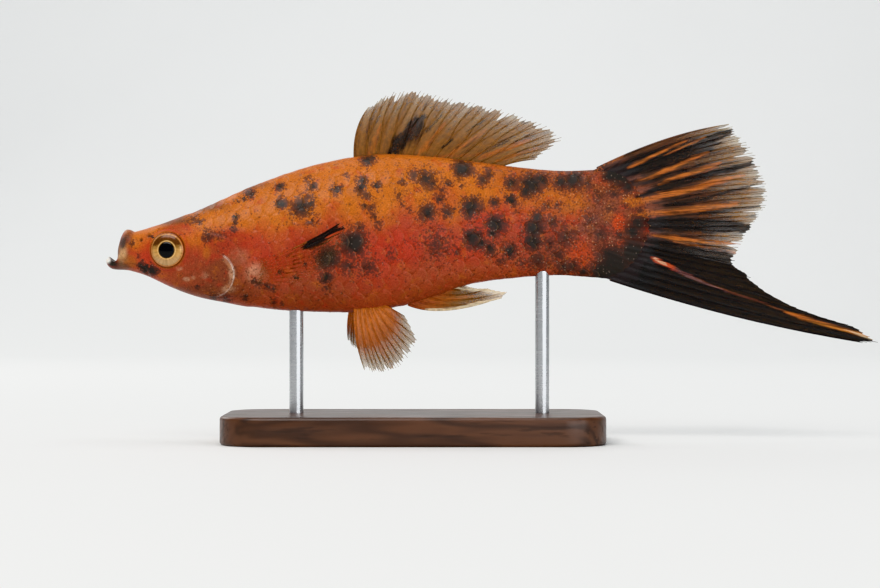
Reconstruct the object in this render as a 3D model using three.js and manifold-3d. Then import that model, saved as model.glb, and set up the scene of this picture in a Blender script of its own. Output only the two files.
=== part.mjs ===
// A life-size male swordtail, as a still model on a plain display stand.
// It swims level towards -X, shows its left flank to -Y and has its back towards +Z.
import * as THREE from "three";
import { mergeVertices } from "three/addons/utils/BufferGeometryUtils.js";
import Module from "manifold-3d";

const wasm = await Module();
wasm.setup();

// Driving dimensions, in millimetres. The fish is measured from a datum of its own:
// x runs back from the tip of the lower lip, and z up from the lowest point of the belly.
const TOTAL_LENGTH = 108; // lower lip to the tip of the sword
const BELLY_HEIGHT = 18; // the belly above the floor
const GAP = 0.3; // clear space between two parts that touch
const SNOUT_END = 4.06; // the notch behind the upper lip, where the back line starts
const GILL_END = 20.6; // the end of the head
const STEM_START = 50; // the tail stem is named from here back
const TAIL_ROOT = 69.3; // where the body starts to round off into the tail fin
const TAIL_LOBE = 7; // how far the fleshy lobe runs out over the tail fin

// The back and the belly in side view, as [x, z].
const BACK_LINE = [
  [SNOUT_END, 11.38], [7.2, 12.3], [11.5, 13.9], [14.7, 15.3], [21, 18.1], [29.4, 20.9],
  [37.8, 22.3], [46.2, 21.95], [54.6, 20.9], [63, 20.05], [TAIL_ROOT, 20.2],
];
const BELLY_LINE = [
  [3.4, 5.9], [5.5, 5.25], [9.3, 3.5], [11.9, 2.5], [14.7, 1.8], [23.1, 0.4], [33.6, -0.05],
  [37.8, 0.2], [41.3, 0.95], [45.5, 2.1], [50.1, 3.7], [54.6, 4.5], [63, 5.15], [TAIL_ROOT, 4.75],
];
// Half the width of the body, as [x, half width], and how square its section is (2 is an ellipse).
const HALF_WIDTH = [
  [3.4, 2.85], [6, 3.5], [9, 4.1], [12, 4.6], [17, 5.15], [23, 5.35], [30, 5.35],
  [38, 5.05], [46, 4.3], [54, 3.3], [62, 2.4], [TAIL_ROOT, 1.75],
];
const SQUARENESS = [[0, 2.2], [8, 2.6], [16, 2.3], [30, 2.15], [TAIL_ROOT, 2.05]];
const RINGS = { points: 40, head: 17, trunk: 13, stem: 8, lobe: 6 };

// The open mouth, from its blind end out over the lips. Each row is one ring through the upper and
// the lower lip: top [x, z], bottom [x, z], half width, and how far its corners are set back.
const MOUTH = [
  { top: [2.7, 7.56], low: [2.52, 7.14], width: 0.3, setBack: 0.3 },
  { top: [2.24, 8.12], low: [1.61, 7.07], width: 1.3, setBack: 0.8 },
  { top: [1.9, 8.29], low: [0.91, 7.45], width: 1.75, setBack: 1.0 },
  { top: [1.68, 8.55], low: [0.42, 7.9], width: 2.05, setBack: 1.1 },
  { top: [1.66, 9.0], low: [0, 7.42], width: 2.25, setBack: 1.2 },
  { top: [1.86, 9.9], low: [0.16, 6.72], width: 2.4, setBack: 1.2 },
  { top: [2.25, 11.0], low: [0.75, 6.18], width: 2.5, setBack: 1.1 },
  { top: [2.75, 11.62], low: [1.6, 6.02], width: 2.6, setBack: 0.9 },
  { top: [3.35, 11.66], low: [2.5, 6.0], width: 2.72, setBack: 0.75 },
];
// The hinge lines of the two jaws and the rear edge of the head, as [x, z].
const UPPER_JAW_HINGE = [[1.9, 7.4], [3.1, 7.35], [3.5, 8.6], [3.72, 10.2], [3.9, 13]];
const LOWER_JAW_HINGE = [[1.7, 7.3], [2.7, 6.95], [4.3, 6.75], [5.7, 6.2], [6.2, 5.2], [6.3, 3.5]];
const JAW_PARTING = [0.9, 7.75];
const HEAD_EDGE = [[16.6, 19.5], [18.7, 14.6], [GILL_END + 0.2, 9.4], [GILL_END - 0.2, 5.6], [18.3, 2.6], [15.8, -1]];

const EYE = { x: 9.02, z: 8.74, radius: 2.4, dome: 0.62, depth: 1.9, proud: 0.06, pupil: 1.12, lens: 0.12, turn: 0.17 };
const NOSTRILS = [{ x: 5.2, z: 10.15, radius: 0.26 }, { x: 6.3, z: 10.75, radius: 0.32 }];
const GILL_COVER = { x: 15.8, z: 6.3, back: 4.1, front: 2.7, up: 4.6, down: 4.3, lean: 0.16, plate: 1.2, proud: 0.22 };

// Fin rays stand out as ridges on the skin between them.
const FIN_SKIN = 0.5;
const FIN_EDGE = 0.36;
const RAY = 0.85;

// The stand.
const BASE = { front: 16.5, back: 69.5, width: 26, height: 4, corner: 6, bevel: 0.5, cornerSteps: 6 };
const ROD = { radius: 1, sink: 2.2, sides: 20 };
const ROD_PLACES = { stand_rod_front: 26.6, stand_rod_rear: 61 };

// Longer than anything is wide or high, for cutters.
const FAR = 40;

// A smooth function through rows of [x, value].
function through(rows) {
  const slope = rows.map((row, i) => {
    const before = rows[Math.max(i - 1, 0)];
    const after = rows[Math.min(i + 1, rows.length - 1)];
    return (after[1] - before[1]) / (after[0] - before[0]);
  });
  return (x) => {
    const next = rows.findIndex((row) => row[0] > x);
    const i = next === -1 ? rows.length - 2 : Math.max(next - 1, 0);
    const [a, b] = [rows[i], rows[i + 1]];
    const width = b[0] - a[0];
    const t = Math.min(Math.max((x - a[0]) / width, 0), 1);
    const s = 1 - t;
    const values = a[1] * s * s * (1 + 2 * t) + b[1] * t * t * (1 + 2 * s);
    return values + width * (slope[i] * s * s * t - slope[i + 1] * t * t * s);
  };
}

const backLine = through(BACK_LINE);
const bellyLine = through(BELLY_LINE);
const halfWidth = through(HALF_WIDTH);
const squareness = through(SQUARENESS);

// Solids.
function solidFrom(geometry) {
  const bare = geometry.index ? geometry.toNonIndexed() : geometry.clone();
  for (const name of Object.keys(bare.attributes)) {
    if (name !== "position") bare.deleteAttribute(name);
  }
  const merged = mergeVertices(bare, 1e-4);
  const mesh = new wasm.Mesh({
    numProp: 3,
    vertProperties: merged.attributes.position.array,
    triVerts: new Uint32Array(merged.index.array),
  });
  return new wasm.Manifold(mesh);
}

function geometryFrom(solid) {
  const mesh = solid.getMesh();
  const geometry = new THREE.BufferGeometry();
  geometry.setAttribute("position", new THREE.BufferAttribute(new Float32Array(mesh.vertProperties), 3));
  geometry.setIndex(new THREE.BufferAttribute(new Uint32Array(mesh.triVerts), 1));
  geometry.computeVertexNormals();
  return geometry;
}

// A closed mesh of points and triangles, turned so that its faces point out.
function closedSolid(points, triangles) {
  const geometry = new THREE.BufferGeometry();
  geometry.setAttribute("position", new THREE.Float32BufferAttribute(points.flat(), 3));
  geometry.setIndex(triangles.flat());
  const solid = solidFrom(geometry);
  if (solid.volume() > 0) return solid;
  geometry.setIndex(triangles.flatMap(([a, b, c]) => [a, c, b]));
  return solidFrom(geometry);
}

function largest(solid) {
  const pieces = solid.decompose();
  return pieces.reduce((best, piece) => (piece.volume() > best.volume() ? piece : best));
}

// A side-view outline of [x, z] points, run right across the fish.
function prism(outline) {
  const shape = new THREE.Shape(outline.map(([x, z]) => new THREE.Vector2(x, z)));
  const geometry = new THREE.ExtrudeGeometry(shape, { depth: 2 * FAR, bevelEnabled: false });
  geometry.rotateX(Math.PI / 2);
  geometry.translate(0, FAR, 0);
  return solidFrom(geometry);
}

// The outline of a thin cut along a line of [x, z] points.
function slit(line) {
  const side = (sign) =>
    line.map(([x, z], i) => {
      const a = line[Math.max(i - 1, 0)];
      const b = line[Math.min(i + 1, line.length - 1)];
      const reach = (sign * GAP) / 2 / Math.hypot(b[0] - a[0], b[1] - a[1]);
      return [x - (b[1] - a[1]) * reach, z + (b[0] - a[0]) * reach];
    });
  return [...side(1), ...side(-1).reverse()];
}

// Splits a solid at a line. The outline closes the side that is wanted first.
function parted(solid, line, outline) {
  const near = prism([...line, ...outline]);
  const cut = prism(slit(line));
  return [solid.intersect(near).subtract(cut), solid.subtract(near).subtract(cut)];
}

function smoothLine(points, steps) {
  const curve = new THREE.CatmullRomCurve3(points.map(([x, z]) => new THREE.Vector3(x, 0, z)));
  return curve.getPoints(steps).map((point) => [point.x, point.z]);
}

// Body.
function evenly(from, to, count) {
  return Array.from({ length: count }, (_, i) => from + ((to - from) * i) / count);
}

// The rings lean forward at the snout, so that they meet the slanting mouth.
function bodyRing(x) {
  const slantEnd = 10;
  const slant = Math.max(0, (slantEnd - x) / (slantEnd - SNOUT_END)) ** 2;
  const lowX = x - 0.66 * slant;
  return {
    top: [x, backLine(x)], low: [lowX, bellyLine(lowX)],
    width: halfWidth(x), setBack: 0.6 * slant, square: squareness(x),
  };
}

function lobeRing(root, turn, length) {
  const thinnest = 0.45;
  const middle = (root.top[1] + root.low[1]) / 2 - 0.4;
  const x = TAIL_ROOT + length * Math.sin(turn);
  const shrink = (z) => middle + (z - middle) * Math.cos(turn);
  return {
    top: [x, shrink(root.top[1])], low: [x, shrink(root.low[1])],
    width: thinnest + (root.width - thinnest) * (1 - Math.sin(turn)), setBack: 0, square: root.square,
  };
}

function bodyRings(grow) {
  const places = [
    ...evenly(SNOUT_END, GILL_END, RINGS.head),
    ...evenly(GILL_END, STEM_START, RINGS.trunk),
    ...evenly(STEM_START, TAIL_ROOT, RINGS.stem),
  ];
  const root = bodyRing(TAIL_ROOT);
  const turns = evenly(0, Math.PI / 2, RINGS.lobe);
  return [
    ...MOUTH.map((ring) => ({ ...ring, square: squareness(ring.top[0]) })),
    ...places.map(bodyRing),
    ...turns.map((turn) => lobeRing(root, turn, TAIL_LOBE + grow)),
  ];
}

// One ring of points, in the plane through its top and bottom and the Y direction.
function ringPoints(ring, grow) {
  const least = 0.05;
  const top = new THREE.Vector2(...ring.top);
  const low = new THREE.Vector2(...ring.low);
  const middle = top.clone().add(low).multiplyScalar(0.5);
  const half = Math.max(top.distanceTo(low) / 2 + grow, least);
  const wide = Math.max(ring.width + grow, least);
  const up = top.clone().sub(low).normalize();
  const back = new THREE.Vector2(up.y, -up.x);
  const power = 2 / ring.square;
  return Array.from({ length: RINGS.points }, (_, i) => {
    const turn = (i / RINGS.points) * Math.PI * 2;
    const [c, s] = [Math.cos(turn), Math.sin(turn)];
    const rise = half * Math.sign(c) * Math.abs(c) ** power;
    const out = wide * Math.sign(s) * Math.abs(s) ** power;
    const lag = ring.setBack * s * s;
    return [middle.x + up.x * rise + back.x * lag, -out, middle.y + up.y * rise + back.y * lag];
  });
}

// The whole body in one piece, or a copy that is thicker or thinner all round.
function bodySolid(grow) {
  const rings = bodyRings(grow).map((ring) => ringPoints(ring, grow));
  const centre = (points) => [0, 1, 2].map((k) => points.reduce((sum, p) => sum + p[k], 0) / points.length);
  const points = [...rings.flat(), centre(rings[0]), centre(rings.at(-1))];
  const [mouthEnd, tailEnd] = [points.length - 2, points.length - 1];
  const at = (r, i) => r * RINGS.points + (i % RINGS.points);
  const triangles = [];
  for (let i = 0; i < RINGS.points; i++) {
    triangles.push([mouthEnd, at(0, i + 1), at(0, i)]);
    triangles.push([tailEnd, at(rings.length - 1, i), at(rings.length - 1, i + 1)]);
    for (let r = 0; r + 1 < rings.length; r++) {
      triangles.push([at(r, i), at(r, i + 1), at(r + 1, i)]);
      triangles.push([at(r, i + 1), at(r + 1, i + 1), at(r + 1, i)]);
    }
  }
  return closedSolid(points, triangles);
}

// How far the flank stands out from the middle plane at x and z.
function flank(x, z) {
  const [top, low] = [backLine(x), bellyLine(x)];
  const power = squareness(x);
  const share = Math.min(Math.abs((2 * z - top - low) / (top - low)), 1);
  return halfWidth(x) * (1 - share ** power) ** (1 / power);
}

// Sets a shape that was made round the +Y axis on the cheek of one side, turned a little forward.
function onCheek(geometry, side) {
  geometry.rotateZ(side > 0 ? EYE.turn : Math.PI - EYE.turn);
  geometry.translate(EYE.x, side * (flank(EYE.x, EYE.z) + EYE.proud), EYE.z);
  return solidFrom(geometry);
}

// The eye is a shallow dome with its rim level with the cheek, on a deeper bowl inside the head.
function eyeSolid(side, grow) {
  const steps = 5;
  const radius = EYE.radius + grow;
  const arc = (height, from, to) =>
    Array.from({ length: steps + 1 }, (_, i) => {
      const turn = from + ((to - from) * i) / steps;
      const onAxis = Math.abs(Math.cos(turn)) < 1e-6;
      return new THREE.Vector2(onAxis ? 0 : radius * Math.cos(turn), height * Math.sin(turn));
    });
  const bowl = arc(EYE.depth + grow, -Math.PI / 2, 0);
  const dome = arc(EYE.dome + grow, 0, Math.PI / 2);
  return onCheek(new THREE.LatheGeometry([...bowl, ...dome.slice(1)], 24), side);
}

// The clear lens bulges a little from the dome over the pupil.
function lensSolid(side) {
  const geometry = new THREE.SphereGeometry(EYE.pupil, 18, 10);
  geometry.scale(1, (2 * EYE.lens) / EYE.pupil, 1);
  geometry.translate(0, EYE.dome - EYE.lens, 0);
  return onCheek(geometry, side);
}

function nostril(side, { x, z, radius }) {
  const geometry = new THREE.SphereGeometry(radius, 8, 6);
  geometry.translate(x, side * flank(x, z), z);
  return solidFrom(geometry);
}

// The outline of a gill cover: an egg that leans forward at the top.
function gillOutline(grow) {
  const steps = 28;
  return Array.from({ length: steps }, (_, i) => {
    const turn = (i / steps) * Math.PI * 2;
    const [c, s] = [Math.cos(turn), Math.sin(turn)];
    const reachX = (c > 0 ? GILL_COVER.back : GILL_COVER.front) + grow;
    const reachZ = (s > 0 ? GILL_COVER.up : GILL_COVER.down) + grow;
    return [GILL_COVER.x + reachX * c - GILL_COVER.lean * reachZ * s, GILL_COVER.z + reachZ * s];
  });
}

// One side of the fish, with a clear strip left at the middle.
function halfSpace(side) {
  const strip = 0.5;
  const geometry = new THREE.BoxGeometry(4 * FAR, FAR, 2 * FAR);
  geometry.translate(FAR, side * (FAR / 2 + strip), 0);
  return solidFrom(geometry);
}

// Fins. A fin is a sheet of bent rays with skin between them, given in side view at u = 0 for the
// first ray to u = 1 for the last. place(x, z, u, t) tells how far out to the side a point stands.
function rowsThrough(points) {
  const x = through(points.map((point) => [point[0], point[1]]));
  const z = through(points.map((point) => [point[0], point[2]]));
  return (u) => new THREE.Vector2(x(u), z(u));
}

function finMiddle(fin) {
  const [rootAt, bendAt, tipAt] = [fin.roots, fin.bends, fin.tips].map(rowsThrough);
  const columns = fin.rays * 2 - 1;
  return Array.from({ length: columns }, (_, c) => {
    const u = c / (columns - 1);
    const reach = c % 2 === 0 ? 1 : 1 - fin.notch;
    const ray = new THREE.QuadraticBezierCurve(rootAt(u), bendAt(u), tipAt(u));
    return Array.from({ length: fin.rows + 1 }, (_, r) => {
      const t = (r / fin.rows) * reach;
      const point = ray.getPoint(t);
      return new THREE.Vector3(point.x, fin.place(point.x, point.y, u, t), point.y);
    });
  });
}

// Half the thickness at column c (a ray, or the skin between two) and row share r.
function finHalfThickness(fin, c, r) {
  const taperStart = 0.7;
  const ray = fin.ray + (FIN_EDGE - fin.ray) * r;
  const skin = FIN_SKIN + (FIN_EDGE - FIN_SKIN) * Math.max(0, (r - taperStart) / (1 - taperStart));
  return (c % 2 === 0 ? ray : Math.min(skin, ray)) / 2;
}

function finSheet(fin) {
  const middle = finMiddle(fin);
  const { rows } = fin;
  const last = middle.length - 1;
  const points = [];
  for (const side of [-1, 1]) {
    for (let c = 0; c <= last; c++) {
      for (let r = 0; r <= rows; r++) {
        const across = middle[Math.min(c + 1, last)][r].clone().sub(middle[Math.max(c - 1, 0)][r]);
        const along = middle[c][Math.min(r + 1, rows)].clone().sub(middle[c][Math.max(r - 1, 0)]);
        const out = across.cross(along).normalize();
        out.multiplyScalar(side * finHalfThickness(fin, c, r / rows));
        points.push(middle[c][r].clone().add(out).toArray());
      }
    }
  }
  const face = points.length / 2;
  const at = (side, c, r) => side * face + c * (rows + 1) + r;
  const triangles = [];
  const quad = (a, b, c, d) => triangles.push([a, b, c], [a, c, d]);
  for (let c = 0; c < last; c++) {
    for (let r = 0; r < rows; r++) {
      quad(at(1, c, r), at(1, c + 1, r), at(1, c + 1, r + 1), at(1, c, r + 1));
      quad(at(0, c, r), at(0, c, r + 1), at(0, c + 1, r + 1), at(0, c + 1, r));
    }
    quad(at(0, c, 0), at(0, c + 1, 0), at(1, c + 1, 0), at(1, c, 0));
    quad(at(1, c, rows), at(1, c + 1, rows), at(0, c + 1, rows), at(0, c, rows));
  }
  for (let r = 0; r < rows; r++) {
    quad(at(0, 0, r + 1), at(0, 0, r), at(1, 0, r), at(1, 0, r + 1));
    quad(at(1, last, r + 1), at(1, last, r), at(0, last, r), at(0, last, r + 1));
  }
  return closedSolid(points, triangles);
}

// Roots, bends and tips are rows of [u, x, z]: the roots start well inside the body.
const DORSAL_FIN = {
  rays: 14, rows: 9, notch: 0.06, ray: RAY,
  roots: [[0, 34.9, 20.4], [0.5, 44.4, 20.6], [1, 53.2, 19.6]],
  bends: [[0, 34.2, 25.8], [0.35, 43.2, 26.2], [0.7, 52.5, 24.3], [1, 56.2, 21.3]],
  tips: [
    [0, 36.8, 28.9], [0.09, 39.3, 30.6], [0.2, 42.4, 31.4], [0.4, 48.1, 30.1], [0.6, 54.6, 28.8],
    [0.78, 60.4, 26.8], [0.9, 63.9, 24.5], [1, 60.2, 21.5],
  ],
  place: (x, z, u, t) => 0.25 * Math.sin(3.2 * u + 0.6) * t * t,
};

const TAIL_SWAY = { fan: 0.3, sword: -0.5 };

const CAUDAL_FIN = {
  rays: 15, rows: 10, notch: 0.045, ray: RAY,
  roots: [[0, 67.6, 19.7], [0.3, 71.6, 17.2], [0.65, 74.2, 13.9], [1, 74.6, 9.95]],
  bends: [[0, 78.3, 25.2], [0.3, 81.2, 20.4], [0.65, 83.4, 14.0], [1, 80.2, 8.6]],
  tips: [
    [0, 87.4, 26.45], [0.1, 88.4, 25.5], [0.3, 91.2, 21.6], [0.45, 92.7, 18.2], [0.6, 92.5, 15.4],
    [0.75, 91.0, 12.6], [0.88, 89.1, 9.7], [1, 88, 6.95],
  ],
  place: (x, z, u, t) => TAIL_SWAY.fan * Math.sin(2.6 * u) * t * t,
};

const SWORD = {
  rays: 8, rows: 16, notch: 0.02, ray: 0.95,
  roots: [[0, 74.5, 9.6], [0.5, 73.3, 7.4], [1, 68.6, 5.3]],
  bends: [[0, 80.2, 8.2], [0.3, 82, 6.2], [0.6, 85, 3.0], [1, 87.4, -1.1]],
  tips: [
    [0, 87.9, 6.6], [0.14, 89.8, 5.4], [0.28, 90.9, 4.1], [0.43, 95.2, 1.4], [0.57, 100.2, -0.6],
    [0.71, 105.4, -2.2], [0.857, TOTAL_LENGTH, -4.0], [1, 105.8, -4.15],
  ],
  place: (x, z, u, t) => TAIL_SWAY.fan * Math.sin(2.6) * t * t + TAIL_SWAY.sword * t * t * t,
};

const GONOPODIUM = {
  rays: 6, rows: 9, notch: 0.03, ray: 1.1,
  roots: [[0, 41.8, 1.4], [0.6, 45.4, 2.9], [1, 48.2, 4.2]],
  bends: [[0, 46, -0.7], [0.6, 49, 1.8], [1, 49.6, 3.9]],
  tips: [
    [0, 53.6, 1.6], [0.2, 55.6, 2.15], [0.4, 56.2, 2.95], [0.6, 53.5, 3.45], [0.8, 51.2, 3.6], [1, 50.1, 4.1],
  ],
  place: () => 0,
};

// The pelvic fins hang from the belly, each spread to its side.
function pelvicFin(side, spread, roots, bends, tips) {
  const root = { out: 1.5, z: 0.8 };
  return {
    rays: 8, rows: 8, notch: 0.05, ray: RAY, roots, bends, tips,
    place: (x, z) => side * (root.out + Math.max(0, root.z - z) * spread),
  };
}

const PELVIC_FIN_LEFT = pelvicFin(
  -1, 0.35,
  [[0, 34.9, 1.1], [1, 38.4, 1.3]],
  [[0, 34.6, -3.4], [0.5, 37.8, -3.2], [1, 40.4, 0.4]],
  [[0, 36.3, -7.9], [0.25, 38.6, -8.4], [0.5, 40.9, -7.6], [0.75, 42.9, -5.3], [0.9, 43.5, -3.4], [1, 41.9, -0.5]],
);
const PELVIC_FIN_RIGHT = pelvicFin(
  1, 1.2,
  [[0, 34.2, 1.1], [1, 37.8, 1.3]],
  [[0, 33.4, -2.0], [0.5, 36.2, -1.9], [1, 39.4, 0.3]],
  [[0, 33.6, -4.0], [0.25, 34.7, -5.3], [0.5, 37.2, -5.2], [0.8, 39.9, -3.5], [1, 40.6, -1.0]],
);

// The pectoral fins are folded back and up along the flanks and stand off them more to the rear.
function pectoralFin(side) {
  const base = { x: 21.3, z: 5.5, sunk: 0.8 };
  const [clear, flare, leaving] = [0.65, 0.17, 0.16];
  const surface = flank(base.x, base.z);
  return {
    rays: 9, rows: 9, notch: 0.04, ray: RAY,
    roots: [[0, 20.3, 6.9], [0.5, 20.9, 5.5], [1, 21.2, 4.2]],
    bends: [[0, 27, 8.4], [0.5, 28.5, 7.1], [1, 25.3, 4.4]],
    tips: [[0, 33.2, 12.5], [0.15, 34.1, 11.8], [0.4, 33.8, 9.4], [0.7, 31.4, 6.5], [1, 27.3, 4.1]],
    place: (x, z, u, t) => {
      const leave = Math.min(1, t / leaving);
      return side * (surface - base.sunk + (base.sunk + clear) * leave + (x - base.x) * flare);
    },
  };
}

// The stand: a flat base with round corners and two rods that end in sockets under the fish.
function standBase() {
  const { bevel, corner } = BASE;
  const [front, back] = [BASE.front + bevel, BASE.back - bevel];
  const side = BASE.width / 2 - bevel;
  const r = corner - bevel;
  const shape = new THREE.Shape();
  shape.moveTo(front + r, -side);
  shape.absarc(back - r, -side + r, r, -Math.PI / 2, 0);
  shape.absarc(back - r, side - r, r, 0, Math.PI / 2);
  shape.absarc(front + r, side - r, r, Math.PI / 2, Math.PI);
  shape.absarc(front + r, -side + r, r, Math.PI, Math.PI * 1.5);
  const geometry = new THREE.ExtrudeGeometry(shape, {
    depth: BASE.height - 2 * bevel,
    bevelThickness: bevel,
    bevelSize: bevel,
    bevelSegments: 2,
    curveSegments: BASE.cornerSteps,
  });
  geometry.translate(0, 0, bevel - BELLY_HEIGHT);
  return solidFrom(geometry);
}

function upright(x, radius, low, top) {
  const geometry = new THREE.CylinderGeometry(radius, radius, top - low, ROD.sides);
  geometry.rotateX(Math.PI / 2);
  geometry.translate(x, 0, (top + low) / 2);
  return solidFrom(geometry);
}

const rodSolid = (x) => upright(x, ROD.radius, BASE.height + GAP - BELLY_HEIGHT, bellyLine(x) + ROD.sink);
const rodSocket = (x) => upright(x, ROD.radius + GAP, bellyLine(x) - ROD.sink, bellyLine(x) + ROD.sink + GAP);

// The fish is modelled whole and then parted with thin cuts.
const parts = new Map();
const whole = bodySolid(0);
const clearOfBody = bodySolid(GAP);

const [wholeHead, behind] = parted(whole, smoothLine(HEAD_EDGE, 14), [[-FAR, -FAR], [-FAR, FAR]]);
const [lowerJaw, aboveJaw] = parted(wholeHead, LOWER_JAW_HINGE, [[-FAR, 0], [-FAR, 7.9], JAW_PARTING]);
const [upperJaw, skull] = parted(aboveJaw, UPPER_JAW_HINGE, [[-FAR, 13], [-FAR, 8.4], JAW_PARTING]);
parts.set("lower_jaw", largest(lowerJaw));
parts.set("upper_jaw", largest(upperJaw));

// A gill cover is a curved plate let into the cheek, and stands a little proud of it.
let head = skull;
const coverRegion = prism(gillOutline(0));
const coverPocket = prism(gillOutline(GAP));
const headSide = prism([...smoothLine(HEAD_EDGE, 14), [-FAR, -FAR], [-FAR, FAR]]);
const headSlit = prism(slit(smoothLine(HEAD_EDGE, 14)));
const plate = bodySolid(GILL_COVER.proud).subtract(bodySolid(-GILL_COVER.plate));
const pocket = clearOfBody.subtract(bodySolid(-GILL_COVER.plate - GAP));
const covers = plate.intersect(coverRegion).intersect(headSide).subtract(headSlit);
for (const [name, side] of [["left", -1], ["right", 1]]) {
  const oneSide = halfSpace(side);
  parts.set(`eye_${name}`, eyeSolid(side, 0).add(lensSolid(side)));
  parts.set(`gill_cover_${name}`, largest(covers.intersect(oneSide)));
  head = head.subtract(eyeSolid(side, GAP));
  head = head.subtract(pocket.intersect(coverPocket).intersect(oneSide));
  for (const place of NOSTRILS) head = head.subtract(nostril(side, place));
}
parts.set("head", largest(head));

const stemLine = [[STEM_START, -FAR], [STEM_START, FAR]];
let [stem, trunk] = parted(behind, stemLine, [[2 * FAR, FAR], [2 * FAR, -FAR]]);
for (const [name, x] of Object.entries(ROD_PLACES)) {
  parts.set(name, rodSolid(x));
  trunk = trunk.subtract(rodSocket(x));
  stem = stem.subtract(rodSocket(x));
}
parts.set("trunk", largest(trunk));
parts.set("tail_stem", largest(stem));
parts.set("stand_base", standBase());

const FINS = {
  dorsal_fin: DORSAL_FIN,
  caudal_fin: CAUDAL_FIN,
  sword: SWORD,
  gonopodium: GONOPODIUM,
  pelvic_fin_left: PELVIC_FIN_LEFT,
  pelvic_fin_right: PELVIC_FIN_RIGHT,
  pectoral_fin_left: pectoralFin(-1),
  pectoral_fin_right: pectoralFin(1),
};
for (const [name, fin] of Object.entries(FINS)) {
  parts.set(name, largest(finSheet(fin).subtract(clearOfBody)));
}

// Materials, by the kind of part.
const MATERIALS = {
  flesh: new THREE.MeshStandardMaterial({ color: 0xd9601c, roughness: 0.38, metalness: 0 }),
  fin: new THREE.MeshStandardMaterial({ color: 0xa8703a, roughness: 0.45, metalness: 0 }),
  sword: new THREE.MeshStandardMaterial({ color: 0x1d1815, roughness: 0.45, metalness: 0 }),
  eye: new THREE.MeshStandardMaterial({ color: 0xd9b45c, roughness: 0.15, metalness: 0.2 }),
  wood: new THREE.MeshStandardMaterial({ color: 0x2b1c13, roughness: 0.5, metalness: 0 }),
  steel: new THREE.MeshStandardMaterial({ color: 0xb8babd, roughness: 0.3, metalness: 1 }),
};

function materialFor(name) {
  if (name.startsWith("eye")) return MATERIALS.eye;
  if (name.startsWith("stand_rod")) return MATERIALS.steel;
  if (name === "stand_base") return MATERIALS.wood;
  if (name === "sword") return MATERIALS.sword;
  return name in FINS ? MATERIALS.fin : MATERIALS.flesh;
}

const swordtail = new THREE.Group();
for (const [name, solid] of parts) {
  const mesh = new THREE.Mesh(geometryFrom(solid), materialFor(name));
  mesh.name = name;
  swordtail.add(mesh);
}
swordtail.position.set(-TOTAL_LENGTH / 2, 0, BELLY_HEIGHT);

export default swordtail;
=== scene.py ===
"""A life-size male swordtail on a plain display stand.

It swims level towards -X, shows its left flank to -Y and has its back towards +Z.
The fish is measured in millimetres from a datum of its own: x runs back from the tip of the
lower lip, y to its right, and z up from the lowest point of the belly.
"""

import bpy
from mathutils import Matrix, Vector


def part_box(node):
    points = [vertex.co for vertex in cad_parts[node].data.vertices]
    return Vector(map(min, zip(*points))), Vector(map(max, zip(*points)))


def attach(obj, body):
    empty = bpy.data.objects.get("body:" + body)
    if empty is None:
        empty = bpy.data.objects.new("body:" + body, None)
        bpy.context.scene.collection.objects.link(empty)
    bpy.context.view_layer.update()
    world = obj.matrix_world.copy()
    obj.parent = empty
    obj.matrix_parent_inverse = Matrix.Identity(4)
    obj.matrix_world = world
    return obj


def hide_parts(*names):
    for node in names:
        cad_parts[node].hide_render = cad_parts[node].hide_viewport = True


bl_info = {
    "name": "Swordtail model",
    "version": (1, 0, 0),
    "blender": (4, 5, 0),
    "location": "View3D > Sidebar > Swordtail",
    "description": "Builds a life-size male swordtail on a display stand",
    "category": "Add Mesh",
}

import math

import bmesh
import bpy
import numpy as np
from bpy.props import FloatProperty, FloatVectorProperty, IntProperty, PointerProperty
from mathutils import Vector

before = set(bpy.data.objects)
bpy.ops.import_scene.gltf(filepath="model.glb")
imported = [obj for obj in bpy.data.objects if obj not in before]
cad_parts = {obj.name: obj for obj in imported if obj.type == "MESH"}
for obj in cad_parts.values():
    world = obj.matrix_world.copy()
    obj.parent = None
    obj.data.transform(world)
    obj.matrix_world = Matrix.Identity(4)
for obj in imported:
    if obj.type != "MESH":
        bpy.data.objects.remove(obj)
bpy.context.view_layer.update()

MM = 0.001
DATUM = np.array([-54.0, 0.0, 18.0])
BODY = "root"
SIDES = {"left": -1, "right": 1}

# The level camera, framed as the photograph is, a pixel's size in millimetres on the fish's middle
# plane, and the pixel of the photograph that shows the fish's datum.
CAMERA = {"x": -0.0073, "y": -0.3422, "z": 0.02066, "lens": 100.0, "sensor": 36.0}
PIXEL = 0.14
DATUM_PIXEL = (105.5, 313)

# The body, as in the solids.
SNOUT_END = 4.06
TAIL_ROOT = 69.3
TAIL_LOBE = 7.0
LOBE_STATIONS = 10.5
LOBE_EDGE = 0.3
BACK_LINE = [
    (SNOUT_END, 11.38), (7.2, 12.3), (11.5, 13.9), (14.7, 15.3), (21, 18.1), (29.4, 20.9),
    (37.8, 22.3), (46.2, 21.95), (54.6, 20.9), (63, 20.05), (TAIL_ROOT, 20.2),
]
BELLY_LINE = [
    (3.4, 5.9), (5.5, 5.25), (9.3, 3.5), (11.9, 2.5), (14.7, 1.8), (23.1, 0.4), (33.6, -0.05),
    (37.8, 0.2), (41.3, 0.95), (45.5, 2.1), (50.1, 3.7), (54.6, 4.5), (63, 5.15), (TAIL_ROOT, 4.75),
]
HALF_WIDTH = [
    (3.4, 2.85), (6, 3.5), (9, 4.1), (12, 4.6), (17, 5.15), (23, 5.35), (30, 5.35),
    (38, 5.05), (46, 4.3), (54, 3.3), (62, 2.4), (TAIL_ROOT, 1.75),
]
SQUARENESS = [(0, 2.2), (8, 2.6), (16, 2.3), (30, 2.15), (TAIL_ROOT, 2.05)]
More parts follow.
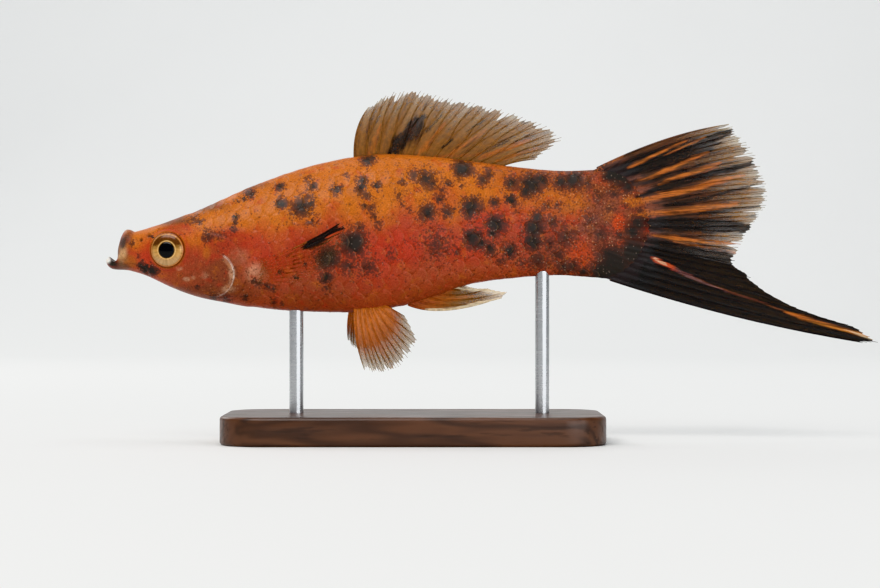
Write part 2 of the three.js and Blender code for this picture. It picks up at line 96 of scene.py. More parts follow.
# Rings of the open mouth, from its blind end out over the lips: the top (x, z), the bottom (x, z),
# half the width, and how far the corners are set back.
MOUTH = [
    (2.7, 7.56, 2.52, 7.14, 0.3, 0.3), (2.24, 8.12, 1.61, 7.07, 1.3, 0.8),
    (1.9, 8.29, 0.91, 7.45, 1.75, 1.0), (1.68, 8.55, 0.42, 7.9, 2.05, 1.1),
    (1.66, 9.0, 0, 7.42, 2.25, 1.2), (1.86, 9.9, 0.16, 6.72, 2.4, 1.2),
    (2.25, 11.0, 0.75, 6.18, 2.5, 1.1), (2.75, 11.62, 1.6, 6.02, 2.6, 0.9),
    (3.35, 11.66, 2.5, 6.0, 2.72, 0.75),
]
LIP_RING = 4
UPPER_JAW_LINE = [(1.9, 7.4), (3.1, 7.35), (3.5, 8.6), (3.72, 10.2), (3.9, 13)]
LOWER_JAW_LINE = [(2.7, 6.95), (4.3, 6.75), (5.7, 6.2), (6.2, 5.2), (6.3, 3.5)]
CHEEK_LINE = [(12.9, 11.0), (13.3, 8.4), (12.9, 6.0), (11.6, 4.6), (9.6, 4.2)]
EYE = {"x": 9.02, "z": 8.74, "radius": 2.4, "dome": 0.62, "depth": 1.9, "proud": 0.06,
       "pupil": 1.12, "lens": 0.12, "turn": 0.17}
NOSTRILS = [(5.2, 10.15, 0.26), (6.3, 10.75, 0.32)]
GILL_COVER = {"x": 15.8, "z": 6.3, "back": 4.1, "front": 2.7, "up": 4.6, "down": 4.3, "lean": 0.16}
GILL_BONE = {"x": 15.3, "z": 5.4, "long": 3.0, "high": 3.0}


# Curves and surfaces.
def through(rows):
    """A smooth function through rows of (place, value, ...)."""
    rows = np.asarray(rows, float)
    place, value = rows[:, 0], rows[:, 1:]
    index = np.arange(len(place))
    before, after = np.maximum(index - 1, 0), np.minimum(index + 1, len(place) - 1)
    slope = (value[after] - value[before]) / (place[after] - place[before])[:, None]

    def at(x):
        x = np.asarray(x, float)
        i = np.clip(np.searchsorted(place, x, side="right") - 1, 0, len(place) - 2)
        width = (place[i + 1] - place[i])[..., None]
        t = np.clip((x[..., None] - place[i][..., None]) / width, 0, 1)
        s = 1 - t
        ends = value[i] * s * s * (1 + 2 * t) + value[i + 1] * t * t * (1 + 2 * s)
        found = ends + width * (slope[i] * s * s * t - slope[i + 1] * t * t * s)
        return found[..., 0] if value.shape[1] == 1 else found

    return at


def smooth_step(x, low, high):
    """0 below low and 1 above high, with a soft change between them."""
    t = np.clip((x - low) / (high - low), 0, 1)
    return t * t * (3 - 2 * t)


def bell(x, width):
    """A bell curve, 1 in the middle."""
    return np.exp(-((x / width) ** 2))


def reach_to(points, line):
    """The distance from points (x, z) to a line of points, and how far along the line they are."""
    line = np.asarray(line, float)[:, :2]
    least = np.full(points.shape[:-1], 1e9)
    along = np.zeros(points.shape[:-1])
    lengths = np.linalg.norm(np.diff(line, axis=0), axis=1)
    passed = 0.0
    for a, b, length in zip(line[:-1], line[1:], lengths):
        t = np.clip(((points - a) @ (b - a)) / length**2, 0, 1)
        away = np.linalg.norm(points - (a + t[..., None] * (b - a)), axis=-1)
        along = np.where(away < least, (passed + t * length) / lengths.sum(), along)
        least = np.minimum(least, away)
        passed += length
    return least, along


back_line = through(BACK_LINE)
belly_line = through(BELLY_LINE)
half_width = through(HALF_WIDTH)
squareness = through(SQUARENESS)


def body_rings(x):
    """Rings (top x, top z, low x, low z, half width, set back) at places x along the body."""
    slant = np.maximum(0, (10 - x) / (10 - SNOUT_END)) ** 2
    low_x = x - 0.66 * slant
    return np.stack([x, back_line(x), low_x, belly_line(low_x), half_width(x), 0.6 * slant], axis=-1)


def mouth_stations():
    """The places of the mouth's rings on the one scale that runs from the mouth to the tail."""
    rings = np.vstack([MOUTH, body_rings(np.array([SNOUT_END]))])
    steps = np.diff(rings[:, :4], axis=0)
    lengths = (np.hypot(steps[:, 0], steps[:, 1]) + np.hypot(steps[:, 2], steps[:, 3])) / 2
    return SNOUT_END - np.cumsum(lengths[::-1])[::-1]


MOUTH_STATIONS = mouth_stations()
MOUTH_END = MOUTH_STATIONS[0]
LIP_STATION = MOUTH_STATIONS[LIP_RING]
LAST_STATION = TAIL_ROOT + LOBE_STATIONS


def all_rings(stations):
    """The rings of the whole body, from the inside of the mouth to the end of the tail lobe."""
    ahead = np.array([SNOUT_END, SNOUT_END + 1])
    knots = np.vstack([MOUTH, body_rings(ahead)])
    mouth = through(np.column_stack([[*MOUTH_STATIONS, *ahead], knots]))(stations)
    body = body_rings(np.clip(stations, SNOUT_END, TAIL_ROOT))
    rings = np.where((stations < SNOUT_END)[:, None], mouth, body)
    turn = np.clip((stations - TAIL_ROOT) / LOBE_STATIONS, 0, 1) * math.pi / 2
    middle = (rings[:, 1] + rings[:, 3]) / 2 - 0.4
    lobe = turn > 0
    for x, z in ((0, 1), (2, 3)):
        rings[:, x] = np.where(lobe, TAIL_ROOT + TAIL_LOBE * np.sin(turn), rings[:, x])
        rings[:, z] = np.where(lobe, middle + (rings[:, z] - middle) * np.cos(turn), rings[:, z])
    thin = LOBE_EDGE + (rings[:, 4] - LOBE_EDGE) * (1 - np.sin(turn))
    rings[:, 4] = np.where(lobe, thin, rings[:, 4])
    return rings


def ring_points(ring, square, shares):
    """Points of one ring at shares of its girth, from the belly up the left side and down the right."""
    top, low = ring[:2], ring[2:4]
    high = top - low
    half = max(np.hypot(*high) / 2, 0.04)
    wide = max(ring[4], 0.04)
    up = high / np.hypot(*high)
    back = np.array([up[1], -up[0]])
    turn = np.linspace(0, math.pi, 361)
    cos, sin = np.cos(turn), np.sin(turn)
    radius = (np.abs(cos / half) ** square + np.abs(sin / wide) ** square) ** (-1 / square)
    rise, out = -radius * cos, radius * np.abs(sin)
    out[0] = out[-1] = 0
    girth = np.concatenate([[0], np.cumsum(np.hypot(np.diff(rise), np.diff(out)))])
    place = np.where(shares > 0.5, 1 - shares, shares) * 2 * girth[-1]
    rise, out = np.interp(place, girth, rise), np.interp(place, girth, out)
    lag = ring[5] * (out / wide) ** square
    middle = (top + low) / 2
    side = np.where(shares > 0.5, 1.0, -1.0)
    x = middle[0] + up[0] * rise + back[0] * lag
    z = middle[1] + up[1] * rise + back[1] * lag
    return np.column_stack([x, side * out, z])


def flank(x, z):
    """How far the flank stands out from the middle plane at x and z."""
    top, low, power = back_line(x), belly_line(x), squareness(x)
    share = np.minimum(np.abs((2 * z - top - low) / (top - low)), 1)
    return half_width(x) * (1 - share**power) ** (1 / power)


def row_frame(points):
    """Points of the fish, in the row's frame and in metres."""
    return (np.asarray(points, float) + DATUM) * MM


def add_object(name, data):
    """A new object of the scene that holds this data."""
    thing = bpy.data.objects.new(name, data)
    bpy.context.scene.collection.objects.link(thing)
    return thing


def new_mesh(name, points, faces):
    """A smooth mesh object from points in the fish's own millimetres."""
    mesh = bpy.data.meshes.new(name)
    mesh.from_pydata(row_frame(points).tolist(), [], faces)
    mesh.polygons.foreach_set("use_smooth", [True] * len(mesh.polygons))
    mesh.validate()
    return add_object(name, mesh)


def store(thing, name, kind, values, domain="POINT"):
    """Keeps an array as a named attribute of a mesh."""
    values = np.asarray(values, np.float32)
    if kind == "FLOAT_COLOR":
        values = np.column_stack([values, np.ones(len(values), np.float32)])
    attribute = thing.data.attributes.new(name, kind, domain)
    field = {"FLOAT": "value", "FLOAT_COLOR": "color"}.get(kind, "vector")
    attribute.data.foreach_set(field, values.ravel())


def grid_faces(rows, columns, first=0, wrap=False):
    """Faces of a grid of points, counted row by row."""
    last = columns if wrap else columns - 1
    r, c = np.meshgrid(np.arange(rows - 1), np.arange(last), indexing="ij")
    after = (c + 1) % columns
    here, below = r * columns, (r + 1) * columns
    quads = np.stack([here + c, here + after, below + after, below + c], -1)
    return (quads.reshape(-1, 4) + first).tolist()


def capped_faces(rows, columns):
    """Faces of rings of points, closed at both ends by a pole: the last two points of the mesh."""
    pole, last = rows * columns, (rows - 1) * columns
    faces = grid_faces(rows, columns, wrap=True)
    for c in range(columns):
        after = (c + 1) % columns
        faces += [[pole, after, c], [pole + 1, last + c, last + after]]
    return faces


def sheet_faces(rows, columns):
    """Faces of two grids of points, one over the other, closed round their rim."""
    total = rows * columns
    faces = grid_faces(rows, columns) + [face[::-1] for face in grid_faces(rows, columns, first=total)]
    rim = [*range(columns), *range(2 * columns - 1, total, columns),
           *range(total - 2, total - columns - 1, -1), *range(total - 2 * columns, 0, -columns)]
    return faces + [[b, a, a + total, b + total] for a, b in zip(rim, rim[1:] + rim[:1])]


def linear(red, green, blue):
    """A colour, 0 to 255, as a linear colour."""
    value = np.array([red, green, blue], float) / 255
    return np.where(value <= 0.04045, value / 12.92, ((value + 0.055) / 1.055) ** 2.4)


def over(tint, share, colour):
    """A tint with a share of another colour laid over it."""
    share = share[..., None]
    return tint * (1 - share) + colour * share


# Sizes and colours that a user would change.
def colour_property(name, description, red, green, blue):
    """A colour, given 0 to 255, kept as a linear colour."""
    return FloatVectorProperty(
        name=name, description=description, subtype="COLOR", size=3, min=0, max=1,
        default=tuple(linear(red, green, blue)),
    )


def length_property(name, description, default, low, high):
    """A length in millimetres, kept in metres."""
    return FloatProperty(
        name=name, description=description, default=default * MM, min=low * MM, max=high * MM,
        precision=5, unit="LENGTH", subtype="DISTANCE",
    )


class SwordtailColours(bpy.types.PropertyGroup):
    """Colours of the fish and its stand."""

    gold: colour_property("Gold", "Golden orange of the back", 184, 104, 47)
    orange: colour_property("Orange", "Orange red of the flank", 166, 72, 54)
    red: colour_property("Red", "Deep red patches", 168, 60, 46)
    belly: colour_property("Belly", "Brownish red of the belly", 162, 80, 58)
    black: colour_property("Black", "Black marks", 54, 52, 50)
    clear: colour_property("Clear", "Clear edge of the fins", 142, 124, 88)
    iris: colour_property("Iris", "Pale gold of the iris", 196, 150, 88)
    wood: colour_property("Wood", "Dark wood of the base", 74, 46, 30)
    backdrop: colour_property("Backdrop", "Pale floor and backdrop", 226, 227, 226)


class SwordtailScales(bpy.types.PropertyGroup):
    """Sizes of the scales."""

    length: FloatProperty(name="Length", description="Length of a scale, in steps of its row",
                          default=1.75, min=1.2, max=2.5)
    width: FloatProperty(name="Width", description="Width of a scale, in steps between rows",
                         default=1.5, min=1.1, max=2.0)
    lift: length_property("Lift", "How far the rear edge stands above the skin", 0.034, 0.01, 0.2)
    jitter: FloatProperty(name="Jitter", description="How unevenly the scales are set",
                          default=0.12, min=0, max=0.3)
    rows: IntProperty(name="Rows", description="Rows of scales round the body",
                      default=24, min=12, max=40)
    seed: IntProperty(name="Seed", description="Seed of the uneven places", default=7, min=0)


class SwordtailFins(bpy.types.PropertyGroup):
    """Sizes of the fins."""

    skin: length_property("Skin", "Thickness of the skin between the rays", 0.13, 0.05, 0.5)
    ray: length_property("Ray", "Radius of a ray at its root", 0.19, 0.05, 0.4)
    tip: length_property("Ray tip", "Radius of a ray at its tip", 0.05, 0.02, 0.2)
    sides: IntProperty(name="Sides", description="Sides of a ray's section", default=6, min=4, max=12)
    seed: IntProperty(name="Seed", description="Seed of the torn edges", default=11, min=0)


class SwordtailStand(bpy.types.PropertyGroup):
    """Sizes of the stand."""

    bevel: length_property("Bevel", "Rounding of the base's edges", 0.5, 0.1, 1.5)
    corner: length_property("Corner", "Radius of the base's corners", 6, 1, 12)
    sides: IntProperty(name="Sides", description="Sides of a rod's section", default=64, min=24, max=128)


# Shader nodes.
class Shader:
    """Short calls that add nodes to a node tree and link them."""

    def __init__(self, tree):
        self.tree = tree

    def node(self, kind, inputs=None, **settings):
        made = self.tree.nodes.new(kind)
        for name, value in settings.items():
            setattr(made, name, value)
        for name, value in (inputs or {}).items():
            self.put(made.inputs[name], value)
        return made

    def put(self, socket, value):
        if isinstance(value, bpy.types.NodeSocket):
            self.tree.links.new(value, socket)
            return
        if isinstance(value, np.ndarray):
            value = value.tolist()
        if socket.type == "RGBA" and not isinstance(value, (int, float)) and len(value) == 3:
            value = (*value, 1)
        socket.default_value = value

    def math(self, operation, *values, clamp=False):
        made = self.node("ShaderNodeMath", operation=operation, use_clamp=clamp)
        for socket, value in zip(made.inputs, values):
            self.put(socket, value)
        return made.outputs[0]

    def times(self, a, b):
        return self.math("MULTIPLY", a, b)

    def plus(self, value, factor, added):
        """A value times a factor, with something added."""
        return self.math("MULTIPLY_ADD", value, factor, added)

    def vector(self, operation, *values):
        made = self.node("ShaderNodeVectorMath", operation=operation)
        slots = [s for s in made.inputs if s.name != "Scale"]
        for socket, value in zip(slots, values):
            self.put(socket, value)
        return made.outputs["Value" if operation in ("DISTANCE", "LENGTH") else "Vector"]

    def scaled(self, vector, factor):
        made = self.node("ShaderNodeVectorMath", {"Vector": vector, "Scale": factor}, operation="SCALE")
        return made.outputs["Vector"]

    def split(self, vector):
        """The X, Y and Z of a vector."""
        return self.node("ShaderNodeSeparateXYZ", {"Vector": vector}).outputs

    def joined(self, x, y, z=0.0):
        """A vector from its X, Y and Z."""
        return self.node("ShaderNodeCombineXYZ", {"X": x, "Y": y, "Z": z}).outputs[0]

    def mix(self, factor, a, b, blend="MIX"):
        made = self.node("ShaderNodeMix", data_type="RGBA", blend_type=blend)
        for index, value in ((0, factor), (6, a), (7, b)):
            self.put(made.inputs[index], value)
        return made.outputs[2]

    def toned(self, colour, light):
        """A colour made lighter or darker by a number."""
        return self.mix(1.0, colour, self.joined(light, light, light), blend="MULTIPLY")

    def step(self, value, low, high, out_low=0.0, out_high=1.0):
        """Runs softly from one number to another as a value goes from low to high."""
        inputs = {"Value": value, "From Min": low, "From Max": high, "To Min": out_low, "To Max": out_high}
        return self.node("ShaderNodeMapRange", inputs, interpolation_type="SMOOTHSTEP").outputs[0]

    def noise(self, vector, scale, detail=3.0, rough=0.5, distortion=0.0, output="Fac"):
        """Soft noise, as a number or a colour."""
        inputs = {
            "Vector": vector, "Scale": scale, "Detail": detail, "Roughness": rough, "Distortion": distortion,
        }
        return self.node("ShaderNodeTexNoise", inputs).outputs[output]

    def drift(self, vector, scale, detail, rough=0.5):
        """Soft noise as a vector, from -0.5 to 0.5 each way."""
        drawn = self.noise(vector, scale, detail, rough, output="Color")
        return self.vector("SUBTRACT", drawn, (0.5, 0.5, 0.5))

    def cells(self, vector, scale):
        """Random cells: the distance to the nearest one's middle, its place, and its draws."""
        made = self.node("ShaderNodeTexVoronoi", {"Vector": vector, "Scale": scale}).outputs
        draws = self.node("ShaderNodeSeparateColor", {"Color": made["Color"]}).outputs
        return made["Distance"], made["Position"], draws

    def ramp(self, value, stops):
        made = self.node("ShaderNodeValToRGB", {"Fac": value})
        elements = made.color_ramp.elements
        while len(elements) < len(stops):
            elements.new(1.0)
        for element, (place, colour) in zip(elements, stops):
            element.position = place
            element.color = (*colour, 1)
        return made.outputs["Color"]

    def attribute(self, name, output="Fac"):
        return self.node("ShaderNodeAttribute", attribute_name=name).outputs[output]

    def place(self):
        """Object coordinates, in metres."""
        return self.node("ShaderNodeTexCoord").outputs["Object"]

    def millimetres(self):
        """Object coordinates in the fish's own millimetres."""
        return self.vector("SUBTRACT", self.scaled(self.place(), 1 / MM), DATUM)

    def bump(self, height, strength, distance):
        inputs = {"Height": height, "Strength": strength, "Distance": distance * MM}
        return self.node("ShaderNodeBump", inputs).outputs["Normal"]

    def group(self, tree):
        return self.node("ShaderNodeGroup", node_tree=tree).outputs

    def surface(self, inputs):
        """Ends a material with one surface."""
        made = self.node("ShaderNodeBsdfPrincipled", inputs)
        self.node("ShaderNodeOutputMaterial", {"Surface": made.outputs[0]})


def new_material(name):
    """An empty material and its node calls."""
    material = bpy.data.materials.new(name)
    material.use_nodes = True
    material.node_tree.nodes.clear()
    return material, Shader(material.node_tree)


# Black marks read off the photograph: x, y and radius in its pixels, and how solid each is.
MARKS_SEEN = [
    # The head, the nape and the gill cover.
    (137, 255, 2, 0.5), (132, 244, 3, 0.5), (152, 236, 2, 0.7), (176, 293, 4, 0.3), (193, 219, 6, 0.4),
    (199, 222, 4, 0.5), (202, 238, 3, 0.5), (205, 237, 5, 0.5), (197, 287, 2, 0.5), (212, 298, 5, 0.5),
    (225, 299, 4, 0.5), (231, 229, 3, 0.9), (233, 222, 2, 0.8), (234, 216, 3, 0.9), (236, 200, 2, 0.5),
    (243.9, 197, 3, 0.6), (249, 193, 5, 0.7), (246, 297, 3.5, 0.6),
    # Over the pectoral fin and round it.
    (273, 303, 4, 0.4), (281, 304, 3, 0.4), (295.9, 276, 2, 0.9), (279, 272, 2, 0.7), (302, 264, 2, 0.6),
    (279, 204, 6, 0.9), (278, 187.9, 4, 0.9), (301, 207, 10, 0.8), (309.1, 203, 6, 0.7), (306, 196, 4, 0.5),
    (296, 214, 4, 0.6), (312, 187, 5, 0.7), (312, 221, 5, 0.5), (305, 179, 4, 0.4), (353, 244, 12, 1),
    (325, 278, 6, 0.8), (326, 289, 5, 0.4), (347, 266, 8, 0.5), (367.1, 266, 9, 0.5), (391, 254, 6, 0.3),
    # Under the dorsal fin.
    (330, 190, 3, 0.6), (335, 190, 5, 0.8), (339, 187.1, 3, 0.5), (345, 176, 3, 0.4), (361, 181, 6, 0.7),
    (361, 188, 5, 0.8), (366, 160, 6, 0.8), (371, 158, 4, 0.8), (376, 185, 4, 0.7), (365, 196, 4, 0.5),
    (373, 216, 3.5, 0.5), (377, 224, 4, 0.5), (359, 228, 4, 0.6), (362, 206, 3, 0.6), (371, 208, 4, 0.5),
    (404.1, 190, 3, 0.5), (398, 196, 3, 0.5), (401, 203, 3, 0.5), (409, 210, 3, 0.4), (402, 182, 4, 0.6),
    (414, 175, 6, 0.5), (425.1, 179, 9, 0.7), (432, 185, 6, 0.6), (440, 198, 5, 0.7), (426, 212, 8, 0.8),
    (446, 212, 6, 0.6), (453, 208, 3, 0.6), (443, 190, 3, 0.5), (460, 186, 3, 0.4), (446, 182.9, 4, 0.6),
    (455, 252, 4, 0.4), (462, 168.9, 9, 0.9), (482, 179, 7, 0.6), (487, 173, 5, 0.6),
    # The rear flank.
    (470, 206.1, 9, 0.9), (469.1, 212, 7, 0.8), (472, 238, 9, 0.9), (480, 245.1, 6, 0.8), (495, 224, 9, 0.9),
    (492, 233, 5, 0.8), (489, 248, 7, 0.7), (493, 202, 5, 0.7), (509, 251, 7, 0.9), (500, 262, 4, 0.5),
    (511, 200, 6, 0.9), (515, 208, 4, 0.4), (511, 183, 7, 0.8), (524, 190, 7, 0.8), (530, 185, 11, 0.9),
    (540, 180, 8, 0.8), (533.1, 228, 9, 0.9), (531, 241, 9, 0.9), (537, 218, 6, 0.8), (520, 262, 5, 0.4),
    (537, 260, 10, 0.5), (545, 205, 5, 0.4), (548, 245, 7, 0.5), (552, 222, 7, 0.5), (556, 206, 5, 0.5),
    (557, 255, 7, 0.5), (563, 268, 9, 0.6), (572, 266, 8, 0.6), (565, 238, 11, 0.5), (560, 181, 8, 0.8),
    (573, 180, 9, 0.9),
]
# Marks listed for the model: x, z and radius in millimetres, and how solid each is.
MARKS_SET = [
    # Under the eye, behind it and on the gill cover, and along the lower edge of the pectoral fin's root,
    # where the last four are dark pigment and painted shade under the fin.
    (5.3, 6.6, 0.5, 0.9), (5.5, 7.3, 0.3, 0.7), (5.8, 6.3, 0.7, 1), (6.7, 6.1, 0.8, 1), (7.4, 6, 0.4, 0.9),
    (14.2, 11.4, 0.5, 0.4), (15, 10.9, 0.8, 0.3), (16.2, 10.5, 0.8, 0.2), (20.9, 4.3, 0.4, 0.6),
    (21.8, 4, 0.5, 0.6), (22.8, 3.7, 0.5, 0.6), (23.6, 3.4, 0.4, 0.5),
    # Two blotches of the flank.
    (31.2, 7.7, 1.6, 1), (46.3, 9.6, 1.9, 0.4),
    # The root of the tail fin.
    (66.9, 5.9, 0.9, 0.7), (67.2, 18, 0.9, 0.5), (67.5, 13.2, 1, 0.4), (68.8, 16.4, 1.1, 0.4),
    (69, 10.9, 1.2, 0.5), (69.6, 5.6, 1.9, 1), (70.2, 8.2, 1.2, 0.8), (70.3, 14.6, 0.8, 0.4),
    (70.6, 19.6, 1.2, 1), (71, 16.9, 0.9, 0.5), (71.2, 6.8, 2.6, 1), (71.9, 10.9, 0.6, 0.6),
    (72.2, 19.4, 1.6, 1), (72.8, 15, 0.5, 0.4), (72.9, 17.6, 1.1, 0.7), (73.6, 8.4, 1.9, 1),
    (73.6, 11.2, 1, 0.8), (74.4, 12.4, 1.2, 0.8), (74.6, 14.4, 0.6, 0.5),
]
MARKS_NAME = "swordtail marks"
MARK_CELLS = 3.3
GLINT_CELLS = 2.6


def on_flank(pixel_x, pixel_y):
    """The place (x, z) on the left flank that a pixel of the photograph shows."""
    eye = np.array([CAMERA["x"], CAMERA["z"]]) / MM - DATUM[[0, 2]]
    seen = np.array([pixel_x - DATUM_PIXEL[0], DATUM_PIXEL[1] - pixel_y]) * PIXEL
    place = seen
    for _ in range(3):
        nearness = 1 + flank(*place) * MM / CAMERA["y"]
        place = eye + (seen - eye) * nearness
    return place


def all_marks():
    """The black marks in millimetres, to a tenth: x, z, radius, and how solid each is."""
    seen = [(*on_flank(x, y), radius * PIXEL, solid) for x, y, radius, solid in MARKS_SEEN]
    return np.round(seen + MARKS_SET, 1).tolist()


def marks_group():
    """The black marks, the same on skin and scales: dark cells that merge inside a mark and thin out
    round it."""
    tree = bpy.data.node_groups.new(MARKS_NAME, "ShaderNodeTree")
    for output in ("Dark", "Glint", "Solid"):
        tree.interface.new_socket(output, in_out="OUTPUT", socket_type="NodeSocketFloat")
    shader = Shader(tree)
    place = shader.millimetres()
    frayed = shader.vector("ADD", place, shader.scaled(shader.drift(place, 3.2, 3.0, 0.6), 0.42))
    away, centre, draws = shader.cells(frayed, MARK_CELLS)
    # The right flank has the same marks, shifted.
    right = shader.step(shader.split(place)["Y"], -0.6, 1.6)
    shift = shader.vector("ADD", shader.scaled(shader.drift(place, 0.06, 1.0), 6.0), (2.7, 0.0, -1.4))
    moved = shader.vector("ADD", centre, shader.scaled(shader.drift(centre, 0.5, 3.0, 0.65), 1.7))
    moved = shader.vector("ADD", moved, shader.scaled(shift, right))
    flat = shader.vector("MULTIPLY", moved, (1.0, 0.0, 1.0))
    field = None
    for x, z, radius, solid in all_marks():
        height = 0.14 + 0.86 * solid
        here = shader.plus(shader.vector("DISTANCE", flat, (x, 0.0, z)), -height / (1.72 * radius), height)
        field = here if field is None else shader.math("MAXIMUM", field, here)
    size = shader.plus(draws[0], 0.5, shader.times(field, 1.5))
    mark = shader.step(shader.math("SUBTRACT", size, away), -0.1, 0.2)
    # Pepper: single cells, in clouds where the skin is mottled.
    cloud = shader.noise(place, 0.8, 3.0, 0.6)
    density = shader.times(shader.attribute("mottle"), shader.step(cloud, 0.36, 0.62, 0.12, 1.1))
    chosen = shader.step(shader.math("SUBTRACT", density, draws[1]), 0.0, 0.04)
    pepper = shader.times(shader.times(chosen, shader.step(away, 0.62, 0.34)), 0.88)
    # Painted glints: small pale flecks where single scales catch the light.
    glint_away, _, glint_draws = shader.cells(place, GLINT_CELLS)
    glint = shader.times(shader.step(glint_away, 0.34, 0.12), shader.step(glint_draws[0], 0.62, 0.72))
    shader.node("NodeGroupOutput", {
        "Dark": shader.math("MAXIMUM", mark, pepper), "Glint": glint, "Solid": shader.step(field, 0.1, 0.76),
    })
    return tree


def flesh_colour(shader, marks, colours):
    """The colour of skin and scales alike, and the coordinates it is read from."""
    place = shader.millimetres()
    found = shader.group(marks)
    dark, glint, solid = (found[name] for name in ("Dark", "Glint", "Solid"))
    cloud = shader.noise(place, 0.55, 4.0, 0.62)
    fine = shader.noise(place, 5.0, 4.0, 0.65)
    warm = shader.mix(shader.step(cloud, 0.52, 0.7, 0.0, 0.5), shader.attribute("tint", "Color"), colours.red)
    warm = shader.mix(shader.step(cloud, 0.47, 0.3, 0.0, 0.35), warm, colours.gold)
    warm = shader.toned(warm, shader.step(fine, 0.3, 0.72, 0.74, 1.2))
    # Painted glints: pale flecks on the skin, and lighter grey ones inside the marks.
    often = shader.plus(solid, 0.3, shader.plus(shader.attribute("mottle"), 0.32, 0.06))
    warm = shader.mix(shader.times(glint, often), warm, linear(226, 176, 130))
    shade = shader.mix(solid, linear(86, 54, 48), colours.black)
    shade = shader.mix(shader.times(glint, 0.6), shade, linear(130, 116, 106))
    covered = shader.times(dark, shader.plus(solid, 0.27, 0.72))
    return shader.mix(covered, warm, shade), place


def skin_material(marks, colours):
    """Smooth wet skin with marks in it."""
    material, shader = new_material("swordtail skin")
    colour, place = flesh_colour(shader, marks, colours)
    grain = shader.noise(place, 9.0, 4.0, 0.6)
    pores, _, _ = shader.cells(place, 3.4)
    shader.surface({
        "Base Color": colour, "Roughness": shader.step(grain, 0.3, 0.7, 0.36, 0.52),
        "Normal": shader.bump(shader.plus(pores, 0.35, grain), 0.4, 0.05),
        "IOR": 1.4, "Specular IOR Level": 0.15, "Coat Weight": 0.06, "Coat Roughness": 0.2,
        "Subsurface Weight": 0.1, "Subsurface Scale": 0.6 * MM, "Subsurface Radius": (1.0, 0.35, 0.15),
    })
    return material


def scale_material(marks, colours):
    """A scale: the same markings, fine growth rings and a thin pale rim, a painted highlight along its edge.
    """
    material, shader = new_material("swordtail scales")
    colour, place = flesh_colour(shader, marks, colours)
    plate = shader.split(shader.attribute("plate", "Vector"))
    rim = shader.plus(shader.times(plate["Y"], plate["Y"]), 1.15, plate["X"])
    colour = shader.toned(colour, shader.plus(shader.attribute("shade"), 0.12, 0.93))
    # The pale rim is a painted highlight where the scale's edge would catch the light.
    colour = shader.mix(shader.times(shader.step(rim, 0.9, 0.985), 0.07), colour, linear(236, 170, 100))
    rings = shader.math("SINE", shader.times(rim, 62.0))
    angle = shader.math("ARCTAN2", plate["Y"], shader.math("ADD", plate["X"], -0.3))
    spokes = shader.math("SINE", shader.times(angle, 26.0))
    grain = shader.noise(place, 7.0, 4.0, 0.6)
    height = shader.plus(spokes, 0.07, shader.plus(rings, 0.09, grain))
    shader.surface({
        "Base Color": colour, "Roughness": shader.step(grain, 0.3, 0.7, 0.32, 0.48),
        "Normal": shader.bump(height, 0.4, 0.045), "IOR": 1.4, "Specular IOR Level": 0.24,
        "Coat Weight": 0.1, "Coat Roughness": 0.2,
    })
    return material


# The skin.
COLUMNS = 256
STATION_STEPS = [
    (MOUTH_END, SNOUT_END, 0.13), (SNOUT_END, 21.0, 0.13), (21.0, TAIL_ROOT, 0.33),
    (TAIL_ROOT, LAST_STATION, 0.3),
]
SUNK = 0.12
SCALE_SPACING = [(MOUTH_END, 1.4), (12, 1.45), (22, 1.8), (40, 1.9), (58, 1.75), (70, 1.5), (80, 1.3)]
BONE_RIM = 0.985
# Creases of the head: the line, its width and depth, and the width and strength of the brown painted shade
# along it.
CREASES = [
    (CHEEK_LINE, 0.26, 0.07, 0.2, 0.25), (UPPER_JAW_LINE, 0.22, 0.08, 0.2, 0.35),
    (LOWER_JAW_LINE, 0.17, 0.1, 0.16, 0.5),
]
PORES = [
    (7.6, 11.6), (9.6, 12.3), (11.4, 12.6), (12.9, 12.2), (6.4, 9.2), (5.9, 8.0), (7.2, 5.1),
    (8.9, 4.6), (10.7, 4.6), (12.3, 5.4), (13.2, 7.2), (13.4, 9.2), (4.9, 6.2), (11.9, 11.0),
]
# The rays of the tail fin fan out from this point, and the fleshy lobe at their root is an oval.
FAN_CENTRE = (60.5, 12.2)
LOBE_OVAL = {"x": 66, "z": 12.4, "long": 10.3, "high": 8}


def gill_egg(points):
    """How far out a point lies in the gill cover's outline, 1 on it, and how far to the rear."""
    g = GILL_COVER
    dz = points[..., 1] - g["z"]
    dx = points[..., 0] - g["x"] + g["lean"] * dz
    out = np.hypot(dx / np.where(dx > 0, g["back"], g["front"]), dz / np.where(dz > 0, g["up"], g["down"]))
    return out, dx / g["back"] / np.maximum(out, 0.05)


def gill_bone(points):
    """The same for the hard edge of the gill cover, in front of its soft rim."""
    g = GILL_BONE
    dx, dz = (points[..., 0] - g["x"]) / g["long"], (points[..., 1] - g["z"]) / g["high"]
    out = np.hypot(dx, dz)
    return out, (0.85 * dx - 0.5 * dz) / np.maximum(out, 0.05)


def scaled_share(points):
    """Where the skin carries scales: behind the gill covers and over the nape."""
    egg, _ = gill_egg(points)
    x, z = points[..., 0], points[..., 1]
    behind = smooth_step(x, 19.6, 20.8) * smooth_step(egg, 1.02, 1.14)
    nape = smooth_step(x, 10.6, 12.4) * smooth_step(z, 11.0, 12.2) * smooth_step(egg, 1.05, 1.2)
    tail = 1 - smooth_step(x, 68.6, 70.6)
    return np.maximum(behind, nape) * tail


def fan_angle(x, z):
    """The direction of a point from the middle of the tail fin's fan."""
    return np.arctan2(z - FAN_CENTRE[1], x - FAN_CENTRE[0])


